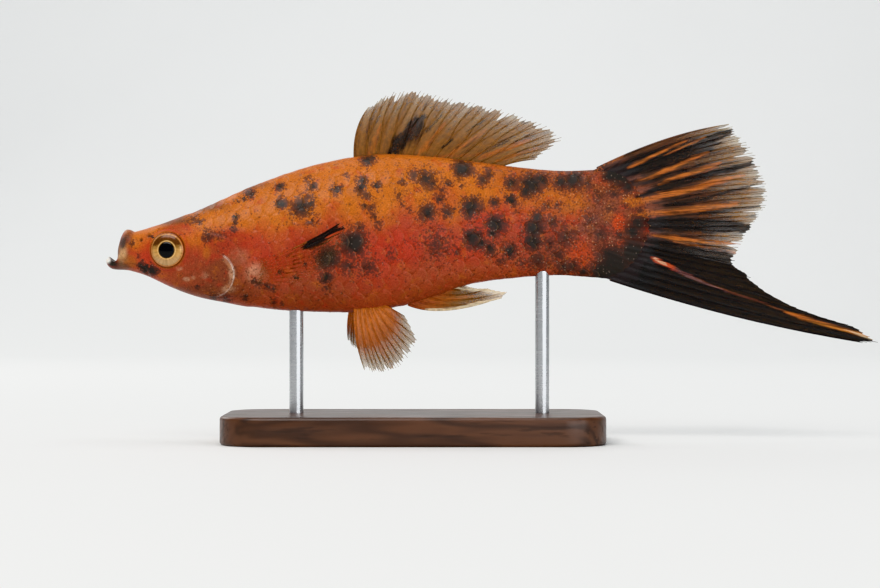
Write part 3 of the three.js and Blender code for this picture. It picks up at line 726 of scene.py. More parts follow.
def relief(points, side_share, stations):
    """How far the skin stands out from the plain body, in millimetres."""
    x, z = points[..., 0], points[..., 1]
    outside = smooth_step(stations, LIP_STATION + 0.9, LIP_STATION + 1.6)
    cheek = smooth_step(side_share, 0.25, 0.5) * outside
    # The gill cover rises to its bony edge and again to its soft rim.
    egg, rear = gill_egg(points)
    hold = cheek * smooth_step(rear, -0.35, 0.25)
    total = hold * 0.13 * smooth_step(egg, 0.35, 0.97) * (1 - smooth_step(egg, 0.97, 1.05))
    total -= hold * 0.06 * bell(egg - 1.05, 0.04)
    bone, low_rear = gill_bone(points)
    firm = cheek * smooth_step(low_rear, -0.1, 0.35)
    total += firm * 0.14 * smooth_step(bone, 0.5, 0.97) * (1 - smooth_step(bone, 0.99, 1.06))
    total += firm * 0.05 * bell(bone - BONE_RIM, 0.025)
    rib = np.sin(bone * 46) * smooth_step(bone, 0.35, 0.6) * (1 - smooth_step(bone, 0.85, 0.98))
    total += firm * 0.012 * rib
    # Creases of the cheek and the jaws.
    for line, width, depth, _, _ in CREASES:
        away, along = reach_to(points, line)
        fade = smooth_step(along, 0.0, 0.12) * (1 - smooth_step(along, 0.82, 1.0))
        total -= outside * smooth_step(side_share, 0.1, 0.35) * fade * depth * bell(away, width)
        total += cheek * fade * depth * 0.5 * bell(away - 2.2 * width, 1.6 * width)
    # The socket and the soft rim round the eye.
    out = np.hypot(x - EYE["x"], z - EYE["z"])
    turn = np.arctan2(z - EYE["z"], x - EYE["x"])
    socket = 2.2 + 0.03 * np.sin(2 * turn + 0.6)
    total -= cheek * 1.1 * (1 - smooth_step(out, socket - 0.1, socket + 0.16))
    total += cheek * 0.13 * bell(out - socket - 0.42, 0.24)
    total += cheek * 0.05 * bell(out - 3.25, 0.3) * smooth_step(np.sin(turn), -0.2, 0.8)
    total -= cheek * 0.05 * bell(out - 2.98, 0.14)
    # Nostrils, each with a low rim, and the pores of the head.
    for place_x, place_z, radius in NOSTRILS:
        away = np.hypot(x - place_x, z - place_z)
        total += cheek * (0.07 * bell(away - radius * 1.25, 0.13) - 0.26 * bell(away, radius * 0.85))
    for place_x, place_z in PORES:
        away = np.hypot(x - place_x, z - place_z)
        total += cheek * (0.02 * bell(away - 0.22, 0.09) - 0.07 * bell(away, 0.13))
    # The root of the pectoral fin, and the vent.
    total += cheek * 0.35 * bell(np.hypot((x - 20.9) / 0.9, (z - 5.5) / 1.7), 0.85)
    low = belly_line(x)
    total += 0.14 * bell(x - 41.6, 1.1) * bell(z - low, 0.7)
    # Muscle blocks show faintly as bent bands, and the skin is a little uneven.
    off_middle = np.abs((z - low) / np.maximum(back_line(x) - low, 1) - 0.5)
    bands = np.sin((x + off_middle * 7 - np.abs(off_middle - 0.28) * 9) * 2 * math.pi / 2.15)
    total += 0.012 * bands * smooth_step(x, 24, 32) * (1 - smooth_step(x, 64, 70))
    total += 0.018 * np.sin(x * 1.3 + 2 * z) * np.sin(z * 1.7) * outside
    # The ray ends of the tail fin show as ridges in the fleshy lobe.
    total += smooth_step(x, 69.0, 73.5) * 0.045 * np.cos(fan_angle(x, z) * 2 * math.pi / 0.062)
    return total


# Soft patches of colour on the flank: x, z, length, height, the colour and how strong it is.
PATCHES = [
    (17.6, 10.0, 3.6, 1.7, "red", 0.9), (23.4, 6.6, 2.2, 2.2, "red", 0.7),
    (10.6, 11.4, 2.4, 1.2, "red", 0.5), (5.9, 8.6, 1.0, 2.2, "red", 0.45),
    (40.8, 8.8, 4.0, 2.6, "red", 0.8), (37.5, 4.5, 4.5, 1.8, "red", 0.45),
    (52.6, 12.8, 1.6, 1.6, "red", 0.65), (55.2, 13.6, 1.4, 1.8, "red", 0.6),
    (50.4, 8.4, 3.2, 1.6, "red", 0.55), (58.2, 12.6, 0.9, 2.4, "red", 0.5),
    (47.6, 15.8, 1.8, 2.2, "orange", 0.5), (62.4, 16.4, 1.4, 1.0, "gold", 0.5),
    (52.0, 16.9, 1.5, 1.2, "gold", 0.5), (26.5, 10.5, 3.0, 1.4, "orange", 0.6),
    (14.5, 8.3, 0.5, 0.9, "gold", 0.7), (30.0, 3.2, 6.5, 2.4, "brown", 0.35),
    (45.8, 8.6, 1.6, 1.2, "brown", 0.3), (61.4, 8.4, 3.0, 2.6, "brown", 0.4),
    # The lips and the lower jaw. The black patch is painted shade in the corner of the mouth, and the two
    # white ones are a painted highlight on the tip of the lower lip.
    (2.7, 10.8, 1.2, 1.7, "brown", 0.7), (2.5, 8.0, 0.8, 1.6, "cream", 0.9),
    (3.6, 7.2, 1.1, 0.9, "amber", 0.6), (2.6, 11.7, 0.8, 0.6, "cream", 0.3),
    (2.5, 9.8, 0.6, 0.9, "grey", 0.95), (3.2, 10.4, 0.4, 0.6, "grey", 0.6),
    (2.0, 6.5, 1.7, 0.8, "grey", 0.7), (1.1, 7.2, 0.8, 0.9, "black", 0.97),
    (0.3, 7.5, 0.5, 0.55, "highlight", 1.0), (0.8, 8.0, 0.4, 0.3, "highlight", 0.9),
    # The cheek, the gill cover and the throat.
    (21.2, 5.4, 1.5, 1.5, "pale", 0.5), (18.9, 7.8, 1.4, 1.2, "pale", 0.25),
    (17.2, 8.8, 3.0, 3.0, "brown", 0.38), (16.4, 4.8, 3.4, 3.2, "brown", 0.85),
    (20.0, 3.0, 2.6, 1.4, "brown", 0.6), (12.0, 2.8, 5.0, 1.0, "brown", 0.75),
    (11.4, 6.4, 2.6, 2.8, "brown", 0.48), (17.4, 3.4, 0.9, 0.5, "pale", 0.4),
    (18.0, 5.6, 0.5, 0.9, "pale", 0.35), (14.2, 5.2, 0.6, 0.5, "pale", 0.25),
    (10.6, 6.2, 0.5, 0.3, "pale", 0.4), (11.6, 4.7, 0.5, 0.3, "pale", 0.55),
    (12.6, 4.9, 0.3, 0.25, "pale", 0.35),
    # The crown and the nape.
    (9.7, 12.6, 2.2, 1.3, "brown", 0.35), (8.6, 13.0, 3.8, 0.7, "olive", 0.85),
    (13.4, 15.0, 3.6, 0.8, "olive", 0.8), (20.0, 17.9, 3.2, 0.6, "olive", 0.5),
    (15.4, 10.7, 1.4, 0.5, "grey", 0.5),
    # The tail stem and its fleshy lobe.
    (70.6, 12.0, 3.6, 6.5, "smoke", 0.8), (66.0, 11.4, 1.6, 1.4, "smoke", 0.6),
    (65.4, 14.8, 1.7, 1.8, "gold", 0.65), (65.0, 13.0, 1.0, 1.1, "red", 0.5),
    (66.3, 8.3, 1.6, 2.0, "ember", 0.7), (71.6, 12.6, 0.9, 1.4, "ember", 0.95),
    (73.5, 15.6, 1.4, 0.8, "gold", 0.9), (72.6, 9.7, 1.5, 0.4, "ember", 0.7),
    (68.8, 18.9, 1.0, 0.9, "orange", 0.7),
]
# Colours listed, 0 to 255.
PICKED = {
    "pale": (200, 158, 126), "amber": (158, 98, 50), "highlight": (236, 232, 224), "olive": (108, 70, 48),
    "brown": (120, 70, 54), "grey": (78, 66, 62), "smoke": (126, 76, 62), "ember": (186, 74, 44),
    "cream": (184, 148, 108), "rust": (152, 84, 42), "tan": (128, 92, 52), "soot": (24, 22, 21),
    "flame": (178, 100, 46), "bronze": (122, 82, 42), "pearl": (216, 194, 160), "umber": (68, 46, 36),
    "mauve": (112, 82, 84), "dusk": (96, 68, 46),
}
OWN = ("gold", "orange", "red", "belly", "black", "clear")


def palette(colours):
    """What the fish is painted with: the colours that a user would change, and the picked ones."""
    paint = {name: np.array(getattr(colours, name)) for name in OWN}
    return paint | {name: linear(*picked) for name, picked in PICKED.items()}


def flank_tint(points, colours):
    """The colour of the flank at points (x, z), before its marks."""
    paint = palette(colours)
    x, z = points[..., 0], points[..., 1]
    low, top = belly_line(x), back_line(x)
    high = (z - low) / np.maximum(top - low, 1) + 0.04 * np.sin(x * 0.55) + 0.03 * np.sin(x * 1.3 + 1)
    tint = over(paint["orange"], smooth_step(high, 0.46, 0.72), paint["gold"])
    tint = over(tint, 1 - smooth_step(high, 0.12, 0.42), paint["belly"])
    tint = over(tint, 0.35 * smooth_step(x, 48, 62), paint["orange"])
    tint = over(tint, 0.55 * smooth_step(x + 3 * np.sin(z * 0.7), 52, 70), paint["brown"])
    for place_x, place_z, long, tall, name, strength in PATCHES:
        near = bell(x - place_x, long) * bell(z - place_z, tall)
        tint = over(tint, strength * smooth_step(near, 0.05, 0.75), paint[name])
    # The tail fin's streaks run on into the fleshy lobe at its root.
    rim = np.hypot((x - LOBE_OVAL["x"]) / LOBE_OVAL["long"], (z - LOBE_OVAL["z"]) / LOBE_OVAL["high"])
    behind = x > LOBE_OVAL["x"]
    base = over(tint, 0.75 * smooth_step(rim, 0.75, 1.0) * behind, paint["brown"])
    streaked, _ = add_streaks(base, 0 * x, points, fan_angle(x, z) * 60, x * 0.8, "caudal_fin", paint)
    return over(tint, smooth_step(rim, 0.5, 0.9) * behind, streaked)


def head_tint(tint, points, side_share, stations, colours):
    """Adds the head's finer colours, some of them painted light: a painted highlight on its gill edge,
    painted shade in the creases of the jaws and cheek, in the nostrils and inside the mouth.
    """
    paint = palette(colours)
    x, z = points[..., 0], points[..., 1]
    outside = smooth_step(stations, LIP_STATION + 0.6, LIP_STATION + 1.4)
    cheek = smooth_step(side_share, 0.25, 0.5) * outside
    bone, _ = gill_bone(points)
    # A painted highlight: a white glint along the rear part of the gill cover's bony edge, and a paler band
    # just inside it.
    angle = np.arctan2(z - GILL_BONE["z"], x - GILL_BONE["x"])
    bright = smooth_step(angle, -1.7, -1.2) * (1 - smooth_step(angle, 0.9, 1.12))
    bright = bright * (0.4 + 0.6 * smooth_step(angle, -0.9, -0.2)) * (0.72 + 0.28 * np.sin(z * 5.3 + x * 3.1))
    tint = over(tint, cheek * 0.95 * bright * bell(bone - BONE_RIM, 0.022), paint["highlight"])
    tint = over(tint, cheek * 0.45 * bright * bell(bone - 0.9, 0.1), paint["pale"])
    egg, behind = gill_egg(points)
    # Painted shade: brown in the groove at the soft rim of the gill cover.
    tint = over(tint, cheek * 0.3 * bell(egg - 1.05, 0.04) * smooth_step(behind, 0.2, 0.7), paint["brown"])
    # Painted shade: brown along the creases of the cheek and jaws.
    for line, _, _, width, strength in CREASES:
        away, along = reach_to(points, line)
        share = outside * strength * bell(away, width) * (1 - smooth_step(along, 0.8, 1))
        tint = over(tint, share, paint["brown"])
    # The nostrils are painted black: painted shade in their pits.
    for place_x, place_z, radius in NOSTRILS:
        away = np.hypot(x - place_x, z - place_z)
        tint = over(tint, cheek * 0.9 * bell(away, radius * 0.85), paint["black"])
    out = np.hypot(x - EYE["x"], z - EYE["z"])
    tint = over(tint, cheek * 0.75 * bell(out - 2.4, 0.13), paint["amber"])
    tint = over(tint, cheek * 0.45 * bell(out - 2.85, 0.22), paint["red"])
    # The lips are pale; the gape inside is painted near-black and the band where they turn in grey, both
    # painted shade.
    turn_in = bell(stations - LIP_STATION - 0.1, 0.5)
    tint = over(tint, 0.75 * turn_in * smooth_step(z, 7.9, 8.4), paint["grey"])
    within = 1 - smooth_step(stations, LIP_STATION - 1.0, LIP_STATION - 0.1)
    return over(tint, 0.97 * within, paint["black"])


def unit(vectors):
    """The same directions as vectors of length one."""
    return vectors / np.maximum(np.linalg.norm(vectors, axis=-1, keepdims=True), 1e-9)


def build_skin(colours):
    """The whole skin of the fish as one closed mesh, with what the scales read from it."""
    stations = np.concatenate([
        np.linspace(start, end, int(round((end - start) / step)), endpoint=False)
        for start, end, step in STATION_STEPS
    ] + [[LAST_STATION - 0.02]])
    shares = np.arange(COLUMNS) / COLUMNS
    rings = all_rings(stations)
    square = squareness(rings[:, 0])
    points = np.stack([ring_points(ring, power, shares) for ring, power in zip(rings, square)])
    around = (np.roll(points, -1, axis=1) - np.roll(points, 1, axis=1)) / 2
    normals = unit(np.cross(np.gradient(points, axis=0), around))
    outward = points[..., 1:] - points[..., 1:].mean(axis=1, keepdims=True)
    rows = len(stations)
    if (normals[rows // 2, :, 1:] * outward[rows // 2]).sum() < 0:
        normals = -normals
    flat = points[..., [0, 2]]
    x, z = flat[..., 0], flat[..., 1]
    station = np.broadcast_to(stations[:, None], x.shape)
    side_share = np.abs(points[..., 1]) / np.maximum(half_width(x), 0.5)
    side_share = np.where(station > TAIL_ROOT, 1.0, side_share)
    scaled = scaled_share(flat)
    inside = smooth_step(station, MOUTH_END, MOUTH_END + 1.2)
    out = relief(flat, side_share, station) * inside - SUNK * scaled - 0.02
    end = 1 - smooth_step(station, LAST_STATION - 2.5, LAST_STATION)
    placed = points + normals * (out * (0.3 + 0.7 * end))[..., None]
    placed[..., 0] = np.maximum(placed[..., 0], 0.01)
    cloud = np.vstack([placed.reshape(-1, 3), placed[0].mean(axis=0), placed[-1].mean(axis=0)])
    skin = new_mesh("skin", cloud, capped_faces(rows, COLUMNS))
    turn_outward(skin)

    tint = head_tint(flank_tint(flat, colours), flat, side_share, station, colours)
    mottle = 0.15 + 0.38 * smooth_step(x, 46, 62) + 0.6 * smooth_step(x, 62, 70)
    mottle += 0.3 * bell(x - 17, 4) * bell(z - 4, 2.5)
    mottle += 0.4 * bell(x - 42.5, 5) * bell(z - 17, 3) + 0.12 * bell(x - 30, 5)
    mottle *= inside * smooth_step(x, 2, 10)
    for name, kind, values in (("tint", "FLOAT_COLOR", tint), ("mottle", "FLOAT", mottle),
                               ("scaled", "FLOAT", scaled), ("outward", "FLOAT_VECTOR", normals)):
        values = values.reshape(rows * COLUMNS, -1)
        store(skin, name, kind, np.vstack([values, values[0], values[-1]]))
    # One map counts the scales along and round the body, the other is the unwrap of the skin.
    spacing = through(SCALE_SPACING)
    counted = np.concatenate([[0], np.cumsum(np.diff(stations) / spacing(stations[:-1]))])
    along = (stations - stations[0]) / (stations[-1] - stations[0])
    corner = np.zeros(len(skin.data.loops), np.int64)
    skin.data.loops.foreach_get("vertex_index", corner)
    face = np.repeat(np.arange(len(skin.data.polygons)), [len(f.vertices) for f in skin.data.polygons])
    row = np.where(corner == rows * COLUMNS, 0, np.minimum(corner // COLUMNS, rows - 1))
    column = np.where(corner >= rows * COLUMNS, 0, corner % COLUMNS)
    highest = np.zeros(len(skin.data.polygons), np.int64)
    np.maximum.at(highest, face, column)
    crossing = (highest[face] == COLUMNS - 1) & (column == 0)
    v = np.where(crossing, 1.0, column / COLUMNS)
    store(skin, "scale_rows", "FLOAT2", np.column_stack([counted[row] / counted[-1], v]), "CORNER")
    store(skin, "OFBake", "FLOAT2", np.column_stack([0.01 + 0.98 * along[row], 0.03 + 0.94 * v]), "CORNER")
    return skin, counted[-1]


def turn_outward(thing):
    """Turns all faces of a closed mesh so that they point out."""
    mesh = thing.data
    points = np.zeros(len(mesh.vertices) * 3)
    mesh.vertices.foreach_get("co", points)
    points = points.reshape(-1, 3)
    mesh.calc_loop_triangles()
    triangles = np.zeros(len(mesh.loop_triangles) * 3, np.int64)
    mesh.loop_triangles.foreach_get("vertices", triangles)
    a, b, c = points[triangles.reshape(-1, 3)].transpose(1, 0, 2)
    if (a * np.cross(b, c)).sum() < 0:
        mesh.flip_normals()


# Geometry nodes.
class Geometry(Shader):
    """The same short calls for a tree of geometry nodes, with named inputs."""

    def __init__(self, name, inputs):
        super().__init__(bpy.data.node_groups.new(name, "GeometryNodeTree"))
        self.tree.interface.new_socket("Geometry", in_out="INPUT", socket_type="NodeSocketGeometry")
        self.tree.interface.new_socket("Geometry", in_out="OUTPUT", socket_type="NodeSocketGeometry")
        for label, kind in inputs:
            self.tree.interface.new_socket(label, in_out="INPUT", socket_type=kind)
        self.given = self.tree.nodes.new("NodeGroupInput").outputs
        self.output = self.tree.nodes.new("NodeGroupOutput")

    def named(self, name, kind="FLOAT"):
        return self.node("GeometryNodeInputNamedAttribute", {"Name": name}, data_type=kind).outputs[0]

    def keep(self, geometry, name, value, kind="FLOAT", domain="POINT"):
        inputs = {"Geometry": geometry, "Name": name, "Value": value}
        return self.node("GeometryNodeStoreNamedAttribute", inputs, data_type=kind, domain=domain).outputs[0]

    def move(self, geometry, place):
        return self.node("GeometryNodeSetPosition", {"Geometry": geometry, "Position": place}).outputs[0]

    def realize(self, geometry):
        return self.node("GeometryNodeRealizeInstances", {"Geometry": geometry}).outputs[0]

    def finish(self, geometry, material):
        """Ends the tree: what is instanced is made real, and it gets its material."""
        made = self.node("GeometryNodeSetMaterial", {"Geometry": self.realize(geometry)})
        made.inputs["Material"].default_value = material
        self.put(self.output.inputs[0], made.outputs[0])
        return self.tree


def plain_mesh(source, tree, settings, name, smooth=True):
    """Runs a tree of geometry nodes on a mesh and returns the result as a plain mesh object."""
    modifier = source.modifiers.new("grow", "NODES")
    modifier.node_group = tree
    for item in tree.interface.items_tree:
        if item.in_out == "INPUT" and item.name in settings:
            modifier[item.identifier] = settings[item.name]
    bpy.context.view_layer.update()
    graph = bpy.context.evaluated_depsgraph_get()
    mesh = bpy.data.meshes.new_from_object(source.evaluated_get(graph), depsgraph=graph)
    source.modifiers.remove(modifier)
    mesh.name = name
    if smooth:
        mesh.polygons.foreach_set("use_smooth", [True] * len(mesh.polygons))
    return add_object(name, mesh)


def plate_pattern():
    """One scale lying flat: x runs from its hidden root at 0 to its rear edge at 1, y from -0.5 to 0.5,
    and z is the share of its lift above the skin. Its lower sheet is a little wider than the upper one,
    so the rim is a low chamfer that catches the light."""
    places, across = [0, 0.4, 0.68, 0.88, 1.0], [-1, -0.55, 0, 0.55, 1.0]
    x, y = np.meshgrid(places, across, indexing="ij")
    bowed = x * (1 - 0.32 * y**2 * x**1.5)
    wide = 0.5 * y * (0.82 + 0.3 * x - 0.24 * x**3)
    top = -1.2 + 2.2 * x**0.85 - 0.35 * y**2
    upper = np.stack([bowed, wide, top], -1).reshape(-1, 3)
    lower = np.stack([bowed * 1.012, wide * 1.018, top - 1.7 * (0.4 + 0.6 * x)], -1).reshape(-1, 3)
    faces = sheet_faces(*x.shape)
    flat = 2 * (len(places) - 1) * (len(across) - 1)
    mesh = bpy.data.meshes.new("scale pattern")
    mesh.from_pydata(np.vstack([upper, lower]).tolist(), [], faces)
    mesh.polygons.foreach_set("use_smooth", [index < flat for index in range(len(faces))])
    return add_object("scale pattern", mesh)


def scale_tree(material, steps, rows):
    """Geometry nodes that set rows of overlapping scales on the skin, after its own map."""
    g = Geometry("swordtail scales", [
        ("Pattern", "NodeSocketObject"), ("Length", "NodeSocketFloat"), ("Width", "NodeSocketFloat"),
        ("Lift", "NodeSocketFloat"), ("Jitter", "NodeSocketFloat"), ("Seed", "NodeSocketInt"),
    ])
    skin = g.given["Geometry"]
    flat_map = g.named("scale_rows", "FLOAT_VECTOR")
    position = g.node("GeometryNodeInputPosition").outputs[0]

    def on_skin(kind, value, place):
        """What the skin holds at a place on its map."""
        inputs = {"Mesh": skin, "Source UV Map": flat_map, "Sample UV": place, "Value": value}
        return g.node("GeometryNodeSampleUVSurface", inputs, data_type=kind).outputs[0]

    def wrapped(along, around):
        """A place on the skin's map from steps along and round the body."""
        return g.joined(g.math("DIVIDE", along, steps), g.math("FRACT", g.math("DIVIDE", around, rows)))

    # One dot for each scale, every other row half a step on, where the skin carries scales.
    dots = g.node("GeometryNodePoints", {"Count": int(steps) * rows}).outputs[0]
    index = g.node("GeometryNodeInputIndex").outputs[0]
    row = g.math("MODULO", index, float(rows))
    uneven = g.node("FunctionNodeRandomValue", {
        "Seed": g.given["Seed"], "Min": (-1, -1, -1), "Max": (1, 1, 1),
    }, data_type="FLOAT_VECTOR")
    shift = g.split(g.scaled(uneven.outputs[0], g.given["Jitter"]))
    along = g.plus(g.math("MODULO", row, 2.0), 0.5, g.math("FLOOR", g.math("DIVIDE", index, float(rows))))
    along = g.math("ADD", along, shift["X"])
    around = g.plus(shift["Y"], 0.6, g.math("ADD", row, 0.5))
    dots = g.move(dots, g.joined(along, around))
    held = on_skin("FLOAT", g.named("scaled"), wrapped(g.math("ADD", along, 0.6), around))
    bare = g.node("FunctionNodeCompare", {"A": held, "B": 0.45}, data_type="FLOAT", operation="LESS_THAN")
    dots = g.node("GeometryNodeDeleteGeometry", {"Geometry": dots, "Selection": bare.outputs[0]},
                  domain="POINT").outputs[0]
    root_map = on_skin("FLOAT_VECTOR", g.named("OFBake", "FLOAT_VECTOR"), wrapped(along, around))
    dots = g.keep(dots, "root", root_map, "FLOAT_VECTOR")
    other_seed = g.math("ADD", g.given["Seed"], 5.0)
    shade = g.node("FunctionNodeRandomValue", {"Seed": other_seed}, data_type="FLOAT")
    dots = g.keep(dots, "shade", shade.outputs[1])

    pattern = g.node("GeometryNodeObjectInfo", {"Object": g.given["Pattern"]}).outputs["Geometry"]
    pattern = g.keep(pattern, "plate", position, "FLOAT_VECTOR")
    size = g.joined(g.given["Length"], g.given["Width"], 1.0)
    plates = g.node("GeometryNodeInstanceOnPoints", {"Points": dots, "Instance": pattern, "Scale": size})
    plates = g.realize(plates.outputs[0])

    # Each flat plate is laid on the skin, and sinks into it where the scales end.
    spot = g.split(position)
    here = wrapped(spot["X"], spot["Y"])
    outward = on_skin("FLOAT_VECTOR", g.named("outward", "FLOAT_VECTOR"), here)
    held = on_skin("FLOAT", g.named("scaled"), here)
    tint = on_skin("FLOAT_COLOR", g.named("tint", "FLOAT_COLOR"), here)
    plates = g.keep(plates, "tint", tint, "FLOAT_COLOR")
    plates = g.keep(plates, "mottle", on_skin("FLOAT", g.named("mottle"), here))
    settle = g.times(g.math("SUBTRACT", 1.0, held), -0.11 * MM)
    rise = g.plus(spot["Z"], g.given["Lift"], settle)
    surface = on_skin("FLOAT_VECTOR", position, here)
    plates = g.move(plates, g.vector("ADD", surface, g.scaled(outward, rise)))
    patch = g.vector("MULTIPLY", g.named("plate", "FLOAT_VECTOR"), (0.92 / steps, 0.86 / rows, 0.0))
    bake = g.vector("ADD", g.named("root", "FLOAT_VECTOR"), patch)
    plates = g.keep(plates, "OFBake", bake, "FLOAT2", "CORNER")
    return g.finish(plates, material)


# Fins: where each one stands, from x, z and the shares u across it and t of the way out.
PECTORAL_ROOT = (21.3, 5.5)


def upright(x, z, u, t):
    return 0.25 * np.sin(3.2 * u + 0.6) * t * t


def tail_sway(x, z, u, t):
    return 0.3 * np.sin(2.6 * u) * t * t


def sword_sway(x, z, u, t):
    return 0.3 * math.sin(2.6) * t * t - 0.5 * t * t * t


def hanging(side, spread):
    return lambda x, z, u, t: side * (1.5 + np.maximum(0, 0.8 - z) * spread)


def folded_back(side):
    surface = flank(*np.array(PECTORAL_ROOT))
    return lambda x, z, u, t: side * (
        surface - 0.8 + 1.45 * np.minimum(1, t / 0.16) + (x - PECTORAL_ROOT[0]) * 0.17)


# Roots, bends and tips are rows of (share across the fin, x, z).
FINS = {
    "dorsal_fin": {
        "rays": 14, "place": upright, "notch": 0.075, "tears": 9,
        "roots": [(0, 34.9, 20.4), (0.5, 44.4, 20.6), (1, 53.2, 19.6)],
        "bends": [(0, 34.2, 25.8), (0.35, 43.2, 26.2), (0.7, 52.5, 24.3), (1, 56.2, 21.3)],
        "tips": [(0, 36.8, 28.9), (0.09, 39.3, 30.6), (0.2, 42.4, 31.4), (0.4, 48.1, 30.1), (0.6, 54.6, 28.8),
                 (0.78, 60.4, 26.8), (0.9, 63.9, 24.5), (1, 60.2, 21.5)],
    },
    "caudal_fin": {
        "rays": 15, "place": tail_sway, "notch": 0.04, "tears": 12, "flesh": 0.26,
        "roots": [(0, 67.6, 19.7), (0.3, 71.6, 17.2), (0.65, 74.2, 13.9), (1, 74.5, 9.6)],
        "bends": [(0, 78.3, 25.2), (0.3, 81.2, 20.4), (0.65, 83.4, 14.0), (1, 80.2, 8.2)],
        "tips": [(0, 87.4, 26.45), (0.1, 88.4, 25.5), (0.3, 91.2, 21.6), (0.45, 92.7, 18.2),
                 (0.6, 92.5, 15.4), (0.75, 91.0, 12.6), (0.88, 89.1, 9.7), (1, 87.9, 6.6)],
    },
    "sword": {
        "rays": 8, "place": sword_sway, "notch": 0.02, "tears": 0, "flesh": 0.2,
        "roots": [(0, 74.5, 9.6), (0.5, 73.3, 7.4), (1, 68.6, 5.3)],
        "bends": [(0, 80.2, 8.2), (0.3, 82, 6.2), (0.6, 85, 3.0), (1, 87.4, -1.1)],
        "tips": [(0, 87.9, 6.6), (0.14, 89.8, 5.4), (0.28, 90.9, 4.1), (0.43, 95.2, 1.4), (0.57, 100.2, -0.6),
                 (0.71, 105.4, -2.2), (0.857, 108, -4.0), (1, 105.8, -4.15)],
    },
    "gonopodium": {
        "rays": 6, "place": lambda x, z, u, t: 0 * x, "notch": 0.03, "tears": 0,
        "roots": [(0, 41.8, 1.4), (0.6, 45.4, 2.9), (1, 48.2, 4.2)],
        "bends": [(0, 46, -0.7), (0.6, 49, 1.8), (1, 49.6, 3.9)],
        "tips": [(0, 53.6, 1.6), (0.2, 55.6, 2.15), (0.4, 56.2, 2.95), (0.6, 53.5, 3.45), (0.8, 51.2, 3.6),
                 (1, 50.1, 4.1)],
    },
    "pelvic_fin_left": {
        "rays": 8, "place": hanging(-1, 0.35), "notch": 0.07, "tears": 3,
        "roots": [(0, 34.9, 1.1), (1, 38.4, 1.3)],
        "bends": [(0, 34.6, -3.4), (0.5, 37.8, -3.2), (1, 40.4, 0.4)],
        "tips": [(0, 36.3, -7.9), (0.25, 38.6, -8.4), (0.5, 40.9, -7.6), (0.75, 42.9, -5.3),
                 (0.9, 43.5, -3.4), (1, 41.9, -0.5)],
    },
    # Its paint is made 1.4 times lighter: painted light for the shade the body casts on it.
    "pelvic_fin_right": {
        "rays": 8, "place": hanging(1, 1.2), "notch": 0.07, "tears": 3, "bright": 1.4,
        "roots": [(0, 34.2, 1.1), (1, 37.8, 1.3)],
        "bends": [(0, 33.4, -2.0), (0.5, 36.2, -1.9), (1, 39.4, 0.3)],
        "tips": [(0, 33.6, -4.0), (0.25, 34.7, -5.3), (0.5, 37.2, -5.2), (0.8, 39.9, -3.5), (1, 40.6, -1.0)],
    },
}
for _name, _side in SIDES.items():
    FINS[f"pectoral_fin_{_name}"] = {
        "rays": 9, "place": folded_back(_side), "notch": 0.06, "tears": 2,
        "roots": [(0, 20.3, 6.9), (0.5, 20.9, 5.5), (1, 21.2, 4.2)],
        "bends": [(0, 27, 8.4), (0.5, 28.5, 7.1), (1, 25.3, 4.4)],
        "tips": [(0, 33.2, 12.5), (0.15, 34.1, 11.8), (0.4, 33.8, 9.4), (0.7, 31.4, 6.5), (1, 27.3, 4.1)],
    }

# Colour along each fin from root to edge: share of the way out, colour, and how much light it stops.
FIN_RUNS = {
    "dorsal_fin": [(0, "bronze", 1), (0.25, "bronze", 0.99), (0.5, "bronze", 0.97), (0.72, "tan", 0.92),
                   (0.88, "tan", 0.8), (1, "clear", 0.6)],
    "caudal_fin": [(0, "brown", 1), (0.2, "umber", 1), (0.55, "umber", 0.99), (0.72, "dusk", 0.93),
                   (0.85, "tan", 0.84), (1, "clear", 0.6)],
    "sword": [(0, "soot", 1), (0.5, "soot", 1), (1, "soot", 1)],
    "gonopodium": [(0, "belly", 1), (0.3, "rust", 1), (0.5, "bronze", 0.97), (0.8, "tan", 0.85),
                   (1, "pearl", 0.6)],
    "pelvic_fin": [(0, "flame", 1), (0.3, "flame", 0.98), (0.55, "rust", 0.94), (0.8, "tan", 0.8),
                   (1, "clear", 0.55)],
    "pectoral_fin": [(0, "pale", 0.2), (0.14, "rust", 0.1), (0.6, "rust", 0.04), (1, "clear", 0.05)],
}
# How much of a fin is peppered with fine dark lines between its rays.
FIN_PEPPER = {"dorsal_fin": 0.7, "caudal_fin": 1.0, "sword": 0, "gonopodium": 0.2, "pelvic_fin": 0.25,
              "pectoral_fin": 0.12}
